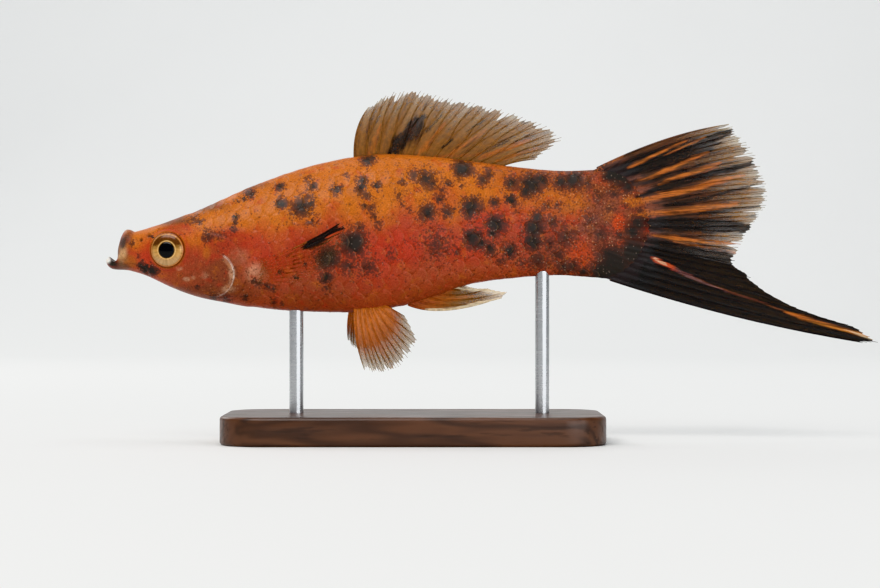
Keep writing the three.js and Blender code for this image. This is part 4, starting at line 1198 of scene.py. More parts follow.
# Streaks that run with the rays: points (x, z), half the width at both ends, colour and strength.
FIN_STREAKS = {
    "dorsal_fin": [
        ([(39.6, 22.4), (41.9, 24.6), (44.4, 27.5)], 1.15, 1.25, "soot", 0.95),
        ([(46.6, 22.8), (48.6, 24.4)], 0.22, 0.18, "soot", 0.85),
        ([(49.8, 22.9), (52.2, 24.7)], 0.22, 0.16, "soot", 0.8),
        ([(56.6, 23.6), (60.3, 24.9)], 0.2, 0.14, "soot", 0.8),
        ([(53.0, 22.4), (56.4, 24.2)], 0.16, 0.12, "soot", 0.6),
        ([(44.8, 25.4), (47.0, 27.8)], 0.2, 0.14, "soot", 0.6),
        ([(50.4, 25.4), (53.2, 27.2)], 0.14, 0.12, "soot", 0.6),
        ([(36.4, 24.0), (38.8, 28.6)], 0.16, 0.12, "soot", 0.45),
        ([(46.0, 21.9), (54.0, 22.2)], 0.3, 0.2, "rust", 0.5),
        ([(36.6, 21.6), (38.4, 26.4)], 0.4, 0.3, "flame", 0.5),
        ([(43.6, 22.0), (47.4, 26.6)], 0.35, 0.3, "flame", 0.5),
        ([(48.0, 22.0), (53.0, 25.4)], 0.35, 0.25, "flame", 0.55),
        ([(52.2, 21.6), (59.4, 24.4)], 0.35, 0.25, "flame", 0.6),
        ([(54.6, 21.3), (60.6, 23.2)], 0.3, 0.2, "flame", 0.5),
    ],
    "caudal_fin": [
        ([(69.6, 18.9), (74.6, 21.2), (79.6, 23.2)], 1.2, 0.8, "soot", 0.95),
        ([(68.6, 19.9), (70.8, 21.3), (74.0, 23.0)], 0.3, 0.2, "flame", 0.75),
        ([(72.6, 19.2), (79.4, 22.0), (88.2, 25.6)], 1.0, 0.85, "soot", 0.96),
        ([(78.6, 20.4), (82.6, 22.2), (86.0, 24.0)], 0.55, 0.45, "soot", 0.9),
        ([(73.0, 20.4), (77.4, 22.4), (81.2, 24.2)], 0.3, 0.2, "flame", 0.8),
        ([(78.0, 22.0), (83.8, 24.6)], 0.14, 0.14, "rust", 0.85),
        ([(72.6, 21.9), (79.0, 24.4), (87.2, 26.3)], 0.3, 0.22, "olive", 0.5),
        ([(72.4, 17.4), (78.0, 19.8), (84.1, 22.4)], 0.35, 0.3, "flame", 0.85),
        ([(70.6, 17.6), (76.4, 18.5), (79.0, 19.6)], 0.55, 0.3, "soot", 0.85),
        ([(77.4, 18.0), (81.4, 19.4), (86.0, 20.9)], 0.4, 0.35, "flame", 0.92),
        ([(81.4, 18.6), (86.2, 20.8)], 0.14, 0.1, "ember", 0.8),
        ([(74.2, 16.2), (82.6, 19.0), (91.2, 21.2)], 0.55, 0.62, "soot", 0.97),
        ([(72.6, 15.2), (78.0, 16.4), (89.2, 19.3)], 0.5, 0.32, "flame", 0.92),
        ([(76.4, 15.2), (84.0, 16.9)], 0.18, 0.14, "soot", 0.8),
        ([(78.0, 15.1), (84.0, 16.1), (90.6, 17.9)], 0.34, 0.26, "soot", 0.9),
        ([(73.4, 13.7), (80.6, 14.3), (88.2, 15.3)], 0.5, 0.36, "flame", 0.9),
        ([(75.4, 13.1), (83.0, 13.9), (92.0, 15.0)], 0.22, 0.2, "soot", 0.85),
        ([(71.8, 12.2), (78.0, 12.5), (83.6, 12.3), (91.0, 11.8)], 0.8, 1.4, "soot", 0.97),
        ([(76.4, 10.9), (80.6, 10.3), (89.2, 9.5)], 0.28, 0.24, "flame", 0.88),
        ([(79.4, 10.0), (84.0, 9.2), (88.6, 8.3)], 0.24, 0.2, "flame", 0.85),
        ([(82.6, 9.7), (88.8, 8.9)], 0.12, 0.12, "soot", 0.7),
        ([(74.4, 8.6), (82.6, 8.0), (88.6, 6.9)], 1.9, 1.5, "soot", 0.98),
        ([(72.2, 10.3), (76.0, 10.2), (80.0, 9.3)], 0.75, 0.4, "soot", 0.9),
    ],
    "sword": [
        ([(76.6, 7.6), (80.0, 6.0), (86.0, 3.4), (92.4, 1.2), (98.0, -0.8)], 0.14, 0.14, "brown", 0.5),
        ([(95.0, 0.1), (101.4, -1.8), (107.5, -3.6)], 0.22, 0.3, "flame", 0.92),
        ([(103.6, -2.4), (107.8, -3.9)], 0.12, 0.2, "pearl", 0.55),
        ([(76.4, 7.6), (79.8, 6.0)], 0.36, 0.26, "ember", 0.8),
        # A short pearl streak on the ember at the sword's root: a painted glint.
        ([(76.6, 7.6), (78.4, 6.7)], 0.14, 0.12, "pearl", 0.5),
        ([(78.9, 6.3), (82.2, 4.9), (87.0, 2.9)], 0.3, 0.12, "mauve", 0.65),
    ],
    "gonopodium": [
        ([(43.6, 1.9), (47.6, 2.0), (51.8, 2.4)], 0.4, 0.25, "flame", 0.6),
        # The two pearl streaks along its upper and lower edges are painted highlights.
        ([(46.8, 3.6), (51.0, 3.35), (55.8, 3.0)], 0.18, 0.26, "pearl", 1.0),
        ([(44.6, 0.45), (49.0, 0.55), (54.9, 2.0)], 0.2, 0.28, "pearl", 1.0),
        ([(48.0, 2.7), (54.2, 2.5)], 0.09, 0.09, "umber", 0.6),
    ],
    "pelvic_fin": [
        ([(35.2, -2.0), (36.6, -6.6)], 0.2, 0.1, "rust", 0.5),
        ([(38.6, -1.6), (40.4, -5.6)], 0.16, 0.1, "rust", 0.5),
    ],
    "pectoral_fin": [
        ([(28.0, 9.1), (30.8, 10.6), (33.6, 12.1)], 0.85, 0.95, "soot", 1.0),
        ([(30.4, 12.0), (32.7, 12.95)], 0.14, 0.12, "soot", 0.85),
        ([(31.05, 10.35), (34.3, 11.7)], 0.13, 0.1, "ember", 0.8),
        ([(22.6, 7.7), (26.0, 8.9), (28.4, 9.7)], 0.09, 0.13, "rust", 0.75),
        ([(20.4, 6.6), (21.6, 4.6)], 0.9, 0.6, "pale", 0.35),
    ],
}
# The fine lines between the rays are this colour, or else soot.
FIN_LINES = {"dorsal_fin": "umber", "pelvic_fin": "brown", "gonopodium": "brown"}
ROOT_IN_SKIN = 0.05
ROOT_FLESH = 0.32
# A fin's skin has this many points from one ray to the next, and from its root to its edge.
FIN_GAP_POINTS = 16
FIN_ROWS = 56


def fin_points(fin, u, t):
    """Points of the fin's middle surface at shares u across it and t of the way out."""
    root, bend, tip = (through(fin[name])(u) for name in ("roots", "bends", "tips"))
    s = 1 - t[..., None]
    flat = root * s * s + 2 * bend * s * (1 - s) + tip * (1 - s) ** 2
    x, z = flat[..., 0], flat[..., 1]
    return np.stack([x, fin["place"](x, z, u, t) + 0 * x, z], axis=-1)

def smooth_noise(across, along, seed):
    """Soft noise from -1 to 1 over two coordinates, with a draw at each whole number."""
    draws = np.random.default_rng(seed).uniform(-1, 1, (64, 64))
    i, j = np.floor(across).astype(int), np.floor(along).astype(int)
    s, t = smooth_step(across - i, 0, 1), smooth_step(along - j, 0, 1)
    near = draws[i % 64, j % 64] * (1 - s) + draws[(i + 1) % 64, j % 64] * s
    far = draws[i % 64, (j + 1) % 64] * (1 - s) + draws[(i + 1) % 64, (j + 1) % 64] * s
    return near * (1 - t) + far * t


def add_streaks(tint, alpha, points, across, along, kind, paint):
    """Paints a fin's streaks, frayed along its rays, over a colour and an opacity."""
    fray = 0.3 * smooth_noise(across, along, 3) + 0.16 * smooth_noise(across * 2.3, along * 3, 4)
    fibres = 1 - 0.6 * smooth_step(smooth_noise(across * 2.7, along * 0.9, 12), 0.05, 0.6)
    for line, start, end, key, strength in FIN_STREAKS[kind]:
        away, run = reach_to(points, line)
        run = np.clip(run + 0.1 * smooth_noise(across, along * 0.3, 5), 0, 1)
        wide = (start + (end - start) * run) * (0.4 + 0.6 * smooth_step(run, 0, 0.16))
        wide = wide * (1 - 0.55 * smooth_step(run, 0.8, 1))
        soft = 0.35 if key == "flame" else 0.6
        share = strength * (1 - smooth_step(away + fray * np.sqrt(wide), soft * wide, (1.85 - soft) * wide))
        if key == "flame":
            share = share * fibres
        tint = over(tint, share, paint[key])
        alpha = np.maximum(alpha, share * (0.98 if key == "soot" else 0.9))
    return tint, alpha


def root_flesh(fin, t):
    """How far the flesh of the tail stem still covers the root of a fin at shares t of the way out."""
    return 1 - smooth_step(t, 0.05, fin["flesh"]) if "flesh" in fin else 0 * t


def fin_tint(name, points, u, t, colours):
    """Colour and opacity of a fin at points (x, z), at shares u across it and t of the way out."""
    kind = name.replace("_left", "").replace("_right", "")
    paint = palette(colours)
    across, along = u * (FINS[name]["rays"] - 1) * 4, t * 8
    drift = np.clip(t + 0.07 * smooth_noise(across * 0.5, along * 0.5, 6), 0, 1)
    run = through([(share, *paint[key], stop) for share, key, stop in FIN_RUNS[kind]])(drift)
    tint, alpha = add_streaks(run[..., :3], run[..., 3], points, across, along, kind, paint)
    lines = smooth_step(smooth_noise(across * 1.7, along * 0.8, 7), 0.3, 0.62)
    uneven = 0.6 + 0.4 * smooth_noise(across, along * 4, 8)
    share = FIN_PEPPER[kind] * lines * smooth_step(t, 0.08, 0.3) * uneven
    tint = over(tint, share, paint[FIN_LINES.get(kind, "soot")])
    alpha = np.maximum(alpha, share * 0.85)
    if kind == "caudal_fin":
        held = root_flesh(FINS[name], t + 0.04 * smooth_noise(across, along * 2, 9))
        tint = over(tint, held, flank_tint(points, colours))
        alpha = np.maximum(alpha, held)
    # The far pelvic fin is lightened here: painted light for the shade the body casts on it.
    tint = tint * FINS[name].get("bright", 1)
    return np.clip(tint, 0, 1), np.clip(alpha, 0, 1)


def fin_reach(fin, u, seed):
    """How far out the skin goes between the branches of the rays: the edge is notched and torn."""
    gap = 1 / (fin["rays"] - 1)
    branch = np.abs(((u / gap * 4 + 0.5) % 1) - 0.5) * 2
    ray = np.abs(((u / gap) % 1) - 0.5) * 2
    random = np.random.default_rng(seed)
    depth = fin["notch"] * (0.45 * (1 - branch) + 0.75 * (1 - ray))
    for _ in range(fin["tears"]):
        middle, deep = random.uniform(0.03, 0.97), random.uniform(0.03, 0.1)
        depth = depth + deep * np.maximum(0, 1 - np.abs(u - middle) / (0.16 * gap + 0.002))
    return 1 - depth - 0.012


def store_fin(thing, fin, tint, alpha, u, t, sheets=1):
    """Keeps what a fin's material reads on its points, the same on each sheet of its skin."""
    rays = np.stack([u * (fin["rays"] - 1), t * 20, 0 * t], -1)
    for name, kind, values in (("tint", "FLOAT_COLOR", tint), ("cover", "FLOAT", 1 - np.sqrt(1 - alpha)),
                               ("mottle", "FLOAT", root_flesh(fin, t)), ("rays", "FLOAT_VECTOR", rays)):
        values = values.reshape(u.size, -1)
        store(thing, name, kind, np.tile(values, (sheets, 1)))


def build_fin_skin(name, fin, colours, sizes):
    """The skin of a fin as one thin closed sheet, a little thicker along its rays."""
    columns = (fin["rays"] - 1) * FIN_GAP_POINTS + 1
    u, r = np.meshgrid(np.linspace(0, 1, columns), np.linspace(0, 1, FIN_ROWS), indexing="ij")
    t = r * fin_reach(fin, u[:, :1], sizes.seed + list(FINS).index(name))
    middle = fin_points(fin, u, t)
    out = unit(np.cross(np.gradient(middle, axis=0), np.gradient(middle, axis=1)))
    phase = u * (fin["rays"] - 1) * 2 * math.pi
    half = sizes.skin / MM / 2 * (1 - 0.6 * t) * (1 + 0.25 * np.cos(phase)) + ROOT_FLESH * root_flesh(fin, t)
    middle = middle + out * (0.035 * np.sin(phase) * smooth_step(t, 0.1, 0.6))[..., None]
    cloud = np.vstack([(middle + out * half[..., None] * side).reshape(-1, 3) for side in (-1, 1)])
    thing = new_mesh(f"{name}_skin", cloud, sheet_faces(columns, FIN_ROWS))
    turn_outward(thing)
    tint, alpha = fin_tint(name, middle[..., [0, 2]], u, t, colours)
    store_fin(thing, fin, tint, alpha, u, t, sheets=2)
    return thing


def ray_lines(name, fin, sizes):
    """Lines along the branching rays of a fin: points, edges, radius and the shares across and along it."""
    gap = 1 / (fin["rays"] - 1)
    splits = (0.4, 0.66) if fin["tears"] else (0.6, 0.8)
    points, edges, radius, along, across = [], [], [], [], []

    def line(start, end, path, thick):
        count = max(6, int((end - start) * 64))
        t = np.linspace(start, end, count)
        u = np.clip(path(t), 0, 1)
        first = len(points)
        points.extend(fin_points(fin, u, t))
        edges.extend([(first + i, first + i + 1) for i in range(count - 1)])
        base, tip = sizes.ray / MM, sizes.tip / MM
        radius.extend((tip + (base - tip) * (1 - t) ** 0.8) * thick)
        along.extend(t)
        across.extend(u)

    random = np.random.default_rng(sizes.seed + 100 + list(FINS).index(name))
    for k in range(fin["rays"]):
        middle = k * gap
        thick = 1.15 if k == 0 else 1.0
        end = random.uniform(0.985, 1.0)
        if k == 0 or name == "gonopodium":
            line(ROOT_IN_SKIN, end, lambda t: middle + 0 * t, thick)
            continue
        line(ROOT_IN_SKIN, splits[0] + 0.02, lambda t: middle + 0 * t, thick)
        for first in (-1, 1):
            fork = lambda t: middle + first * gap / 4 * smooth_step(t, splits[0] - 0.02, splits[0] + 0.3)
            line(splits[0], splits[1] + 0.02, fork, thick * 0.85)
            for second in (-1, 1):
                twig = lambda t: fork(t) + second * gap / 8 * smooth_step(t, splits[1] - 0.02, 1.05)
                line(splits[1], random.uniform(0.95, 1.0), twig, thick * 0.72)
    return np.array(points), edges, np.array(radius), np.array(across), np.array(along)


def ray_tree(material):
    """Geometry nodes that give each ray line a round section of its own thickness."""
    g = Geometry("swordtail rays", [("Sides", "NodeSocketInt")])
    line = g.node("GeometryNodeMeshToCurve", {"Mesh": g.given["Geometry"]}).outputs[0]
    ring = g.node("GeometryNodeCurvePrimitiveCircle", {"Resolution": g.given["Sides"], "Radius": 1.0})
    tube = g.node("GeometryNodeCurveToMesh", {
        "Curve": line, "Profile Curve": ring.outputs[0], "Scale": g.named("thick"), "Fill Caps": True,
    }).outputs[0]
    return g.finish(tube, material)


def build_rays(name, fin, colours, sizes, tree):
    """The branching rays of a fin as round rods."""
    points, edges, radius, u, t = ray_lines(name, fin, sizes)
    mesh = bpy.data.meshes.new(f"{name}_lines")
    mesh.from_pydata(row_frame(points).tolist(), edges, [])
    lines = add_object(f"{name}_lines", mesh)
    tint, alpha = fin_tint(name, points[:, [0, 2]], u, t, colours)
    least = 0.05 if name.startswith("pectoral") else 0.4
    store(lines, "thick", "FLOAT", radius * MM)
    store_fin(lines, fin, tint, least + (1 - least) * alpha, u, t)
    rays = plain_mesh(lines, tree, {"Sides": sizes.sides}, f"{name}_rays")
    bpy.data.objects.remove(lines)
    return rays


def fin_material(name, ray, marks=None):
    """Thin fin skin, or the jointed rays in it: both carry the streaks and let some light through."""
    material, shader = new_material(name)
    along = shader.attribute("rays", "Vector")
    fibre = shader.noise(shader.vector("MULTIPLY", along, (3.2, 0.55, 1.0)), 1.6, 4.0, 0.6)
    spots = shader.noise(shader.millimetres(), 3.0, 4.0, 0.7)
    colour = shader.toned(shader.attribute("tint", "Color"), shader.step(fibre, 0.25, 0.75, 0.74, 1.24))
    colour = shader.mix(shader.step(spots, 0.62, 0.7, 0.0, 0.55), colour, linear(40, 32, 30))
    if marks:
        dark = shader.times(shader.group(marks)["Dark"], shader.attribute("mottle"))
        colour = shader.mix(shader.times(dark, 0.9), colour, linear(44, 38, 38))
    height = fibre
    if ray:
        joint = shader.math("ABSOLUTE", shader.math("SINE", shader.times(shader.split(along)["Y"], 5.2)))
        groove = shader.step(joint, 0.0, 0.22)
        colour = shader.mix(shader.plus(groove, -0.35, 0.35), colour, linear(60, 40, 30))
        height = shader.plus(groove, 0.6, fibre)
    fine = shader.step(fibre, 0.2, 0.8, 0.88, 1.1)
    shader.surface({
        "Base Color": colour, "Roughness": shader.step(fibre, 0.3, 0.7, 0.3, 0.5),
        "Alpha": shader.math("MULTIPLY", shader.attribute("cover"), fine, clamp=True),
        "Normal": shader.bump(height, 0.5, 0.05), "IOR": 1.4, "Specular IOR Level": 0.3,
        "Coat Weight": 0.15, "Coat Roughness": 0.2,
        "Subsurface Weight": 0.3, "Subsurface Scale": 0.5 * MM, "Subsurface Radius": (1.0, 0.75, 0.55),
    })
    return material


# The eyes.
EYE_TURNS = 96


def build_eye(name, side):
    """An eyeball: a bowl behind, a low dome in front and the lens that bulges in the pupil."""
    radius, pupil, dome, depth = (EYE[key] for key in ("radius", "pupil", "dome", "depth"))
    front = np.linspace(0, math.pi / 2, 44)[1:]
    back = np.linspace(0, math.pi / 2, 14)[1:-1]
    out = radius * np.sin(front)
    height = dome * np.sqrt(np.maximum(0, 1 - (out / radius) ** 2))
    lens = np.sqrt(np.maximum(0, 1 - (out / pupil) ** 2))
    height = np.where(out < pupil, dome - 0.13 + 0.2 * lens, height)
    height -= 0.03 * bell(out - 1.3, 0.09) + 0.02 * bell(out - 2.08, 0.07)
    height = np.minimum(height, dome + EYE["lens"] - 0.02)
    outs = np.concatenate([out, radius * np.cos(back)])
    heights = np.concatenate([height, -depth * np.sin(back)])
    turn = np.linspace(0, 2 * math.pi, EYE_TURNS, endpoint=False)
    disc = np.stack([np.outer(outs, np.cos(turn)), np.repeat(heights[:, None], EYE_TURNS, 1),
                     np.outer(outs, np.sin(turn))], -1).reshape(-1, 3)
    disc = np.vstack([disc, [0, dome + 0.07, 0], [0, -depth, 0]])
    angle = EYE["turn"] if side > 0 else math.pi - EYE["turn"]
    cos, sin = math.cos(angle), math.sin(angle)
    x, y, z = disc.T
    placed = np.column_stack([x * cos - y * sin, x * sin + y * cos, z])
    stand = flank(np.array(EYE["x"]), np.array(EYE["z"])) + EYE["proud"]
    placed += [EYE["x"], side * stand, EYE["z"]]
    eye = new_mesh(f"eyeball_{name}", placed, capped_faces(len(outs), EYE_TURNS))
    turn_outward(eye)
    store(eye, "disc", "FLOAT_VECTOR", np.column_stack([x, z, 0 * x]))
    return eye


def eye_material(colours):
    """A pale gold iris with fine spokes, brown above, round a black pupil under a wet clear coat."""
    material, shader = new_material("swordtail eye")
    disc = shader.attribute("disc", "Vector")
    out = shader.vector("LENGTH", disc)
    parts = shader.split(disc)
    turn = shader.math("ARCTAN2", parts["Y"], parts["X"])
    round_disc = [shader.times(shader.math(wave, turn), 6.0) for wave in ("COSINE", "SINE")]
    streak = shader.noise(shader.joined(*round_disc, shader.times(out, 0.7)), 1.4, 5.0, 0.65)
    cloud = shader.noise(disc, 1.3, 4.0, 0.6)
    share = shader.math("DIVIDE", out, EYE["radius"])
    pupil = 0.98 * EYE["pupil"] / EYE["radius"]
    colour = shader.ramp(share, [
        (0.0, linear(6, 6, 8)), (pupil, linear(7, 7, 9)), (pupil + 0.03, linear(150, 112, 60)),
        (pupil + 0.06, linear(222, 182, 122)), (pupil + 0.11, linear(190, 142, 82)), (0.74, colours.iris),
        (0.84, linear(190, 144, 88)), (0.9, linear(160, 106, 58)), (0.93, linear(190, 134, 80)),
        (0.97, linear(136, 64, 32)), (1.0, linear(100, 42, 24)),
    ])
    iris = shader.times(shader.step(share, pupil + 0.04, pupil + 0.16), shader.step(share, 0.92, 0.85))
    height = shader.plus(shader.math("SUBTRACT", cloud, 0.5), 0.9, parts["Y"])
    above = shader.times(shader.times(shader.step(height, 0.1, 0.85), iris), 0.94)
    colour = shader.mix(above, colour, linear(78, 36, 16))
    below = shader.times(shader.times(shader.step(parts["Y"], -0.4, -1.6), iris), 0.7)
    colour = shader.mix(below, colour, linear(174, 142, 106))
    shader.surface({
        "Base Color": shader.toned(colour, shader.step(streak, 0.3, 0.7, 0.78, 1.16)),
        "Roughness": shader.step(share, pupil - 0.02, pupil + 0.05, 0.05, 0.3),
        "Metallic": shader.times(iris, 0.45), "Normal": shader.bump(streak, 0.35, 0.04), "IOR": 1.4,
        "Specular IOR Level": 0.15, "Coat Weight": 1.0, "Coat Roughness": 0.03, "Coat IOR": 1.34,
    })
    return material


# The stand and the setting.
def build_base(sizes):
    """The flat base, with round corners and softly rounded edges."""
    low, high = (np.array(corner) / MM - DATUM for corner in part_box("stand_base"))
    bevel, corner = sizes.bevel / MM, sizes.corner / MM
    half, middle = (high - low)[:2] / 2, (high + low)[:2] / 2
    turn = np.linspace(0, math.pi / 2, 17)
    ring = []
    for quarter, (sx, sy) in enumerate(((1, 1), (-1, 1), (-1, -1), (1, -1))):
        angle = turn + quarter * math.pi / 2
        x, y = sx * (half[0] - corner), sy * (half[1] - corner)
        ring.extend([(x, y, math.cos(a), math.sin(a)) for a in angle])
    ring = np.array(ring)
    curve = np.linspace(0, math.pi / 2, 9)
    near, far = bevel * (1 - np.sin(curve)), bevel * (1 - np.cos(curve))
    profile = [*zip(near, low[2] + far), *zip(far, high[2] - near)]
    rows = []
    for inset, z in profile:
        flat = middle + ring[:, :2] + ring[:, 2:] * (corner - inset)
        rows.append(np.column_stack([flat, np.full(len(ring), z)]))
    count = len(ring)
    cloud = np.vstack(rows)
    faces = grid_faces(len(rows), count, wrap=True)
    faces += [list(range(count)), list(range(len(cloud) - count, len(cloud)))]
    base = new_mesh("base", cloud, faces)
    work = bmesh.new()
    work.from_mesh(base.data)
    bmesh.ops.recalc_face_normals(work, faces=work.faces)
    for face in work.faces:
        if len(face.verts) > 4:
            face.smooth = False
    work.to_mesh(base.data)
    work.free()
    return base


def build_rod(name, sizes):
    """A round rod from the base up into the fish, let a little into the base."""
    low, high = (np.array(corner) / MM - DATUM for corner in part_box(name))
    x, radius = (low[0] + high[0]) / 2, (high[0] - low[0]) / 2
    foot, top = low[2] - 0.3, high[2]
    profile = [(radius, z) for z in (foot, foot + 0.02, foot + 0.5, *np.linspace(foot + 1.0, top - 0.2, 12))]
    profile += [(radius - 0.06, top - 0.05), (radius - 0.2, top)]
    turn = np.linspace(0, 2 * math.pi, sizes.sides, endpoint=False)
    rows = [
        np.column_stack([x + r * np.cos(turn), r * np.sin(turn), np.full(len(turn), z)]) for r, z in profile
    ]
    cloud = np.vstack([*rows, [[x, 0, foot], [x, 0, top]]])
    rod = new_mesh(name.replace("stand_", ""), cloud, capped_faces(len(rows), len(turn)))
    turn_outward(rod)
    return rod


def wood_material(colours):
    """Dark oiled wood with long grain and fine pores."""
    material, shader = new_material("dark wood")
    place = shader.place()
    mapped = shader.node("ShaderNodeMapping", {"Vector": place, "Scale": (90.0, 900.0, 900.0)}).outputs[0]
    wave = shader.noise(shader.vector("MULTIPLY", place, (14.0, 120.0, 120.0)), 1.0, 3.0, 0.5, 0.6)
    grain = shader.plus(shader.math("SINE", shader.times(wave, 46.0)), 0.5, 0.5)
    fine = shader.noise(mapped, 1.4, 3.0, 0.6)
    pore = shader.step(fine, 0.56, 0.68, 0.0, 0.6)
    wood = np.array(colours.wood)
    colour = shader.mix(grain, wood * 0.62, np.minimum(wood * 1.35, 1))
    colour = shader.mix(pore, colour, wood * 0.3)
    height = shader.plus(grain, 0.3, shader.times(pore, -1.0))
    shader.surface({
        "Base Color": colour, "Roughness": shader.step(fine, 0.3, 0.7, 0.34, 0.52),
        "Normal": shader.bump(height, 0.25, 0.06), "Coat Weight": 0.25, "Coat Roughness": 0.22,
    })
    return material


def steel_material():
    """Brushed steel with fine lines round the rod."""
    material, shader = new_material("brushed steel")
    place = shader.place()
    lines = shader.noise(shader.vector("MULTIPLY", place, (200.0, 200.0, 1800.0)), 1.0, 3.0, 0.6)
    smudge = shader.step(shader.noise(place, 260.0), 0.5, 0.75, 0.0, 0.04)
    shader.surface({
        "Base Color": shader.mix(shader.step(lines, 0.3, 0.7), linear(190, 192, 194), linear(200, 201, 203)),
        "Roughness": shader.math("ADD", shader.step(lines, 0.3, 0.7, 0.25, 0.28), smudge),
        "Metallic": 1.0, "Normal": shader.bump(lines, 0.01, 0.01),
    })
    return material


def backdrop_material(colours):
    """The floor's finish: matt, with a faint cloudiness."""
    material, shader = new_material("pale backdrop")
    pale = np.array(colours.backdrop)
    cloud = shader.noise(shader.place(), 9.0)
    colour = shader.mix(cloud, pale * 0.97, np.minimum(pale * 1.02, 1))
    shader.surface({"Base Color": colour, "Roughness": 0.75})
    return material


def area_light(name, place, target, size, power, colour):
    """A soft light at a place in metres, turned to its target."""
    light = bpy.data.lights.new(name, "AREA")
    light.shape = "RECTANGLE"
    light.size, light.size_y = size
    light.energy = power
    light.color = colour
    thing = add_object(name, light)
    thing.location = place
    thing.rotation_mode = "QUATERNION"
    thing.rotation_quaternion = (Vector(target) - Vector(place)).to_track_quat("-Z", "Y")


# The lights: name, place and target in metres, size, power and colour.
MODEL_MIDDLE = (0.0, 0.0, 0.03)
LIGHTS = [
    ("key light", (-0.22, -0.42, 0.5), MODEL_MIDDLE, (0.5, 0.35), 3.1, (1.0, 0.97, 0.94)),
    ("fill light", (0.35, -0.5, 0.06), MODEL_MIDDLE, (0.6, 0.3), 1.8, (0.96, 0.98, 1.0)),
    ("top light", (0.05, 0.06, 0.55), MODEL_MIDDLE, (0.5, 0.35), 1.2, (1.0, 1.0, 1.0)),
    ("wall light", (0.0, 0.3, 0.5), (0.0, 0.8, 0.15), (0.8, 0.3), 1.6, (1.0, 1.0, 1.0)),
    ("back light", (-0.35, 0.32, 0.3), MODEL_MIDDLE, (0.3, 0.3), 0.8, (1.0, 0.98, 0.95)),
]
# The floor, in metres: how far it runs forward, back and to each side, the radius of its sweep up
# into the backdrop, and the backdrop's height.
FLOOR = {"front": -1.6, "back": 0.45, "side": 2.2, "sweep": 0.35, "height": 1.8}


def build_floor(colours):
    """A pale floor that sweeps up into the backdrop."""
    back, sweep = FLOOR["back"], FLOOR["sweep"]
    turn = np.linspace(0, math.pi / 2, 24)[1:]
    profile = [(FLOOR["front"], 0.0), (back, 0.0)]
    profile += [(back + sweep * math.sin(a), sweep * (1 - math.cos(a))) for a in turn]
    profile.append((back + sweep, FLOOR["height"]))
    cloud = np.array([(x, y, z) for y, z in profile for x in (-FLOOR["side"], FLOOR["side"])])
    floor = new_mesh("floor", cloud / MM - DATUM, grid_faces(len(profile), 2))
    floor.data.materials.append(backdrop_material(colours))


def build_camera():
    """A level camera that looks along +Y and frames the model as the photograph does."""
    camera = bpy.data.cameras.new("camera")
    camera.lens, camera.sensor_width = CAMERA["lens"], CAMERA["sensor"]
    camera.clip_start, camera.clip_end = 0.01, 10
    thing = add_object("camera", camera)
    thing.location = [CAMERA[axis] for axis in "xyz"]
    thing.rotation_euler = (math.pi / 2, 0, 0)
    bpy.context.scene.camera = thing


def give(thing, material, slot, *nodes):
    """Finishes a piece: its material, the body it rides on and the nodes it stands for. The slot is not used.
    """
    if not thing.data.materials:
        thing.data.materials.append(material)
    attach(thing, BODY)
    if nodes:
        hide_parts(*nodes)


# One operator for each group of pieces.
class SWORDTAIL_OT_skin(bpy.types.Operator):
    """Builds the skin of the head, trunk and tail stem, and the scales that lie on it"""

    bl_idname = "swordtail.skin"
    bl_label = "Skin and scales"

    def execute(self, context):
        colours, sizes = context.scene.swordtail_colours, context.scene.swordtail_scales
        marks = marks_group()
        skin, steps = build_skin(colours)
        pattern = plate_pattern()
        tree = scale_tree(scale_material(marks, colours), steps, sizes.rows)
        settings = {"Pattern": pattern, "Length": sizes.length, "Width": sizes.width, "Lift": sizes.lift,
                    "Jitter": sizes.jitter, "Seed": sizes.seed}
        scales = plain_mesh(skin, tree, settings, "scales", smooth=False)
        bpy.data.objects.remove(pattern)
        if not scales.data.polygons:
            raise RuntimeError("the skin has no scales")
        give(skin, skin_material(marks, colours), "flesh", "head", "upper_jaw", "lower_jaw",
             "gill_cover_left", "gill_cover_right", "trunk", "tail_stem")
        give(scales, None, "flesh")
        return {"FINISHED"}


class SWORDTAIL_OT_eyes(bpy.types.Operator):
    """Builds the two eyes"""

    bl_idname = "swordtail.eyes"
    bl_label = "Eyes"

    def execute(self, context):
        material = eye_material(context.scene.swordtail_colours)
        for name, side in SIDES.items():
            give(build_eye(name, side), material, "eye", f"eye_{name}")
        return {"FINISHED"}


class SWORDTAIL_OT_fins(bpy.types.Operator):
    """Builds the fins: thin skin and branching rays"""

    bl_idname = "swordtail.fins"
    bl_label = "Fins"

    def execute(self, context):
        colours, sizes = context.scene.swordtail_colours, context.scene.swordtail_fins
        marks = bpy.data.node_groups.get(MARKS_NAME) or marks_group()
        kinds = []
        for start, found in (("fin", None), ("tail fin", marks)):
            firm = fin_material(f"{start} rays", True, found)
            kinds.append((fin_material(f"{start} skin", False, found), firm, ray_tree(firm)))
        for name, fin in FINS.items():
            slot = "sword" if name == "sword" else "fin"
            thin, firm, tree = kinds[1 if "flesh" in fin else 0]
            give(build_fin_skin(name, fin, colours, sizes), thin, slot, name)
            give(build_rays(name, fin, colours, sizes, tree), firm, slot)
        return {"FINISHED"}


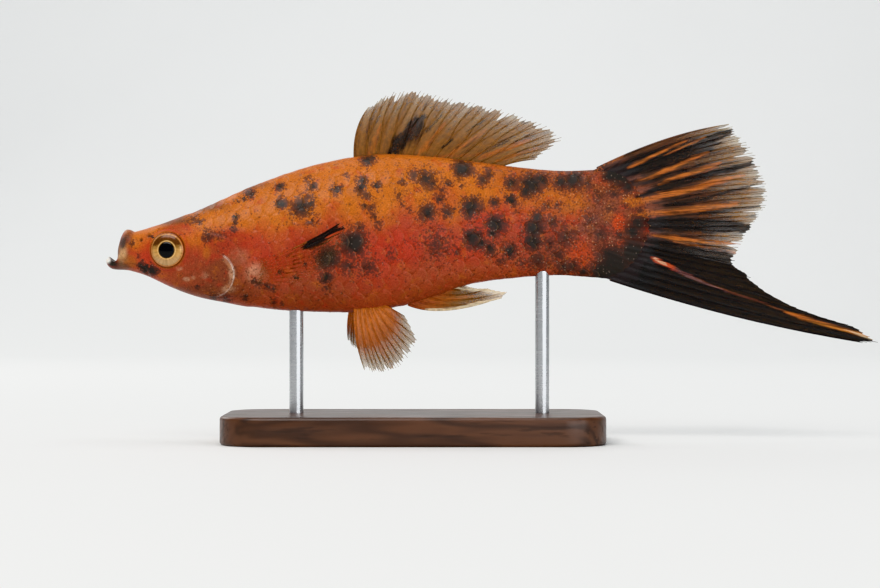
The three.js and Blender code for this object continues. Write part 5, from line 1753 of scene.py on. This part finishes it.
class SWORDTAIL_OT_stand(bpy.types.Operator):
    """Builds the base and the two rods"""

    bl_idname = "swordtail.stand"
    bl_label = "Stand"

    def execute(self, context):
        sizes = context.scene.swordtail_stand
        give(build_base(sizes), wood_material(context.scene.swordtail_colours), "stand_wood", "stand_base")
        steel = steel_material()
        for name in ("stand_rod_front", "stand_rod_rear"):
            give(build_rod(name, sizes), steel, "stand_steel", name)
        return {"FINISHED"}


class SWORDTAIL_OT_stage(bpy.types.Operator):
    """Builds the floor, the lights and the camera"""

    bl_idname = "swordtail.stage"
    bl_label = "Stage"

    def execute(self, context):
        build_floor(context.scene.swordtail_colours)
        for light in LIGHTS:
            area_light(*light)
        world = bpy.data.worlds.new("soft sky")
        world.use_nodes = True
        sky = world.node_tree.nodes["Background"].inputs
        sky["Color"].default_value = (0.92, 0.95, 1.0, 1)
        sky["Strength"].default_value = 0.36
        context.scene.world = world
        context.scene.view_settings.view_transform = "Khronos PBR Neutral"
        build_camera()
        return {"FINISHED"}


class SWORDTAIL_PT_panel(bpy.types.Panel):
    """Lists the model's parts, sizes and colours"""

    bl_idname = "SWORDTAIL_PT_panel"
    bl_label = "Swordtail"
    bl_space_type = "VIEW_3D"
    bl_region_type = "UI"
    bl_category = "Swordtail"

    def draw(self, context):
        for operator in OPERATORS:
            self.layout.operator(operator.bl_idname)
        for name, group in GROUPS.items():
            box = self.layout.box()
            for key in group.__annotations__:
                box.prop(getattr(context.scene, name), key)


GROUPS = {
    "swordtail_colours": SwordtailColours, "swordtail_scales": SwordtailScales,
    "swordtail_fins": SwordtailFins, "swordtail_stand": SwordtailStand,
}
OPERATORS = [SWORDTAIL_OT_skin, SWORDTAIL_OT_eyes, SWORDTAIL_OT_fins, SWORDTAIL_OT_stand, SWORDTAIL_OT_stage]
CLASSES = [*GROUPS.values(), *OPERATORS, SWORDTAIL_PT_panel]


def register():
    for cls in CLASSES:
        bpy.utils.register_class(cls)
    for name, group in GROUPS.items():
        setattr(bpy.types.Scene, name, PointerProperty(type=group))


def unregister():
    for name in GROUPS:
        delattr(bpy.types.Scene, name)
    for cls in reversed(CLASSES):
        bpy.utils.unregister_class(cls)


def main():
    register()
    bpy.ops.swordtail.skin()
    bpy.ops.swordtail.eyes()
    bpy.ops.swordtail.fins()
    bpy.ops.swordtail.stand()
    bpy.ops.swordtail.stage()
    bpy.context.view_layer.update()


if __name__ == "__main__":
    main()
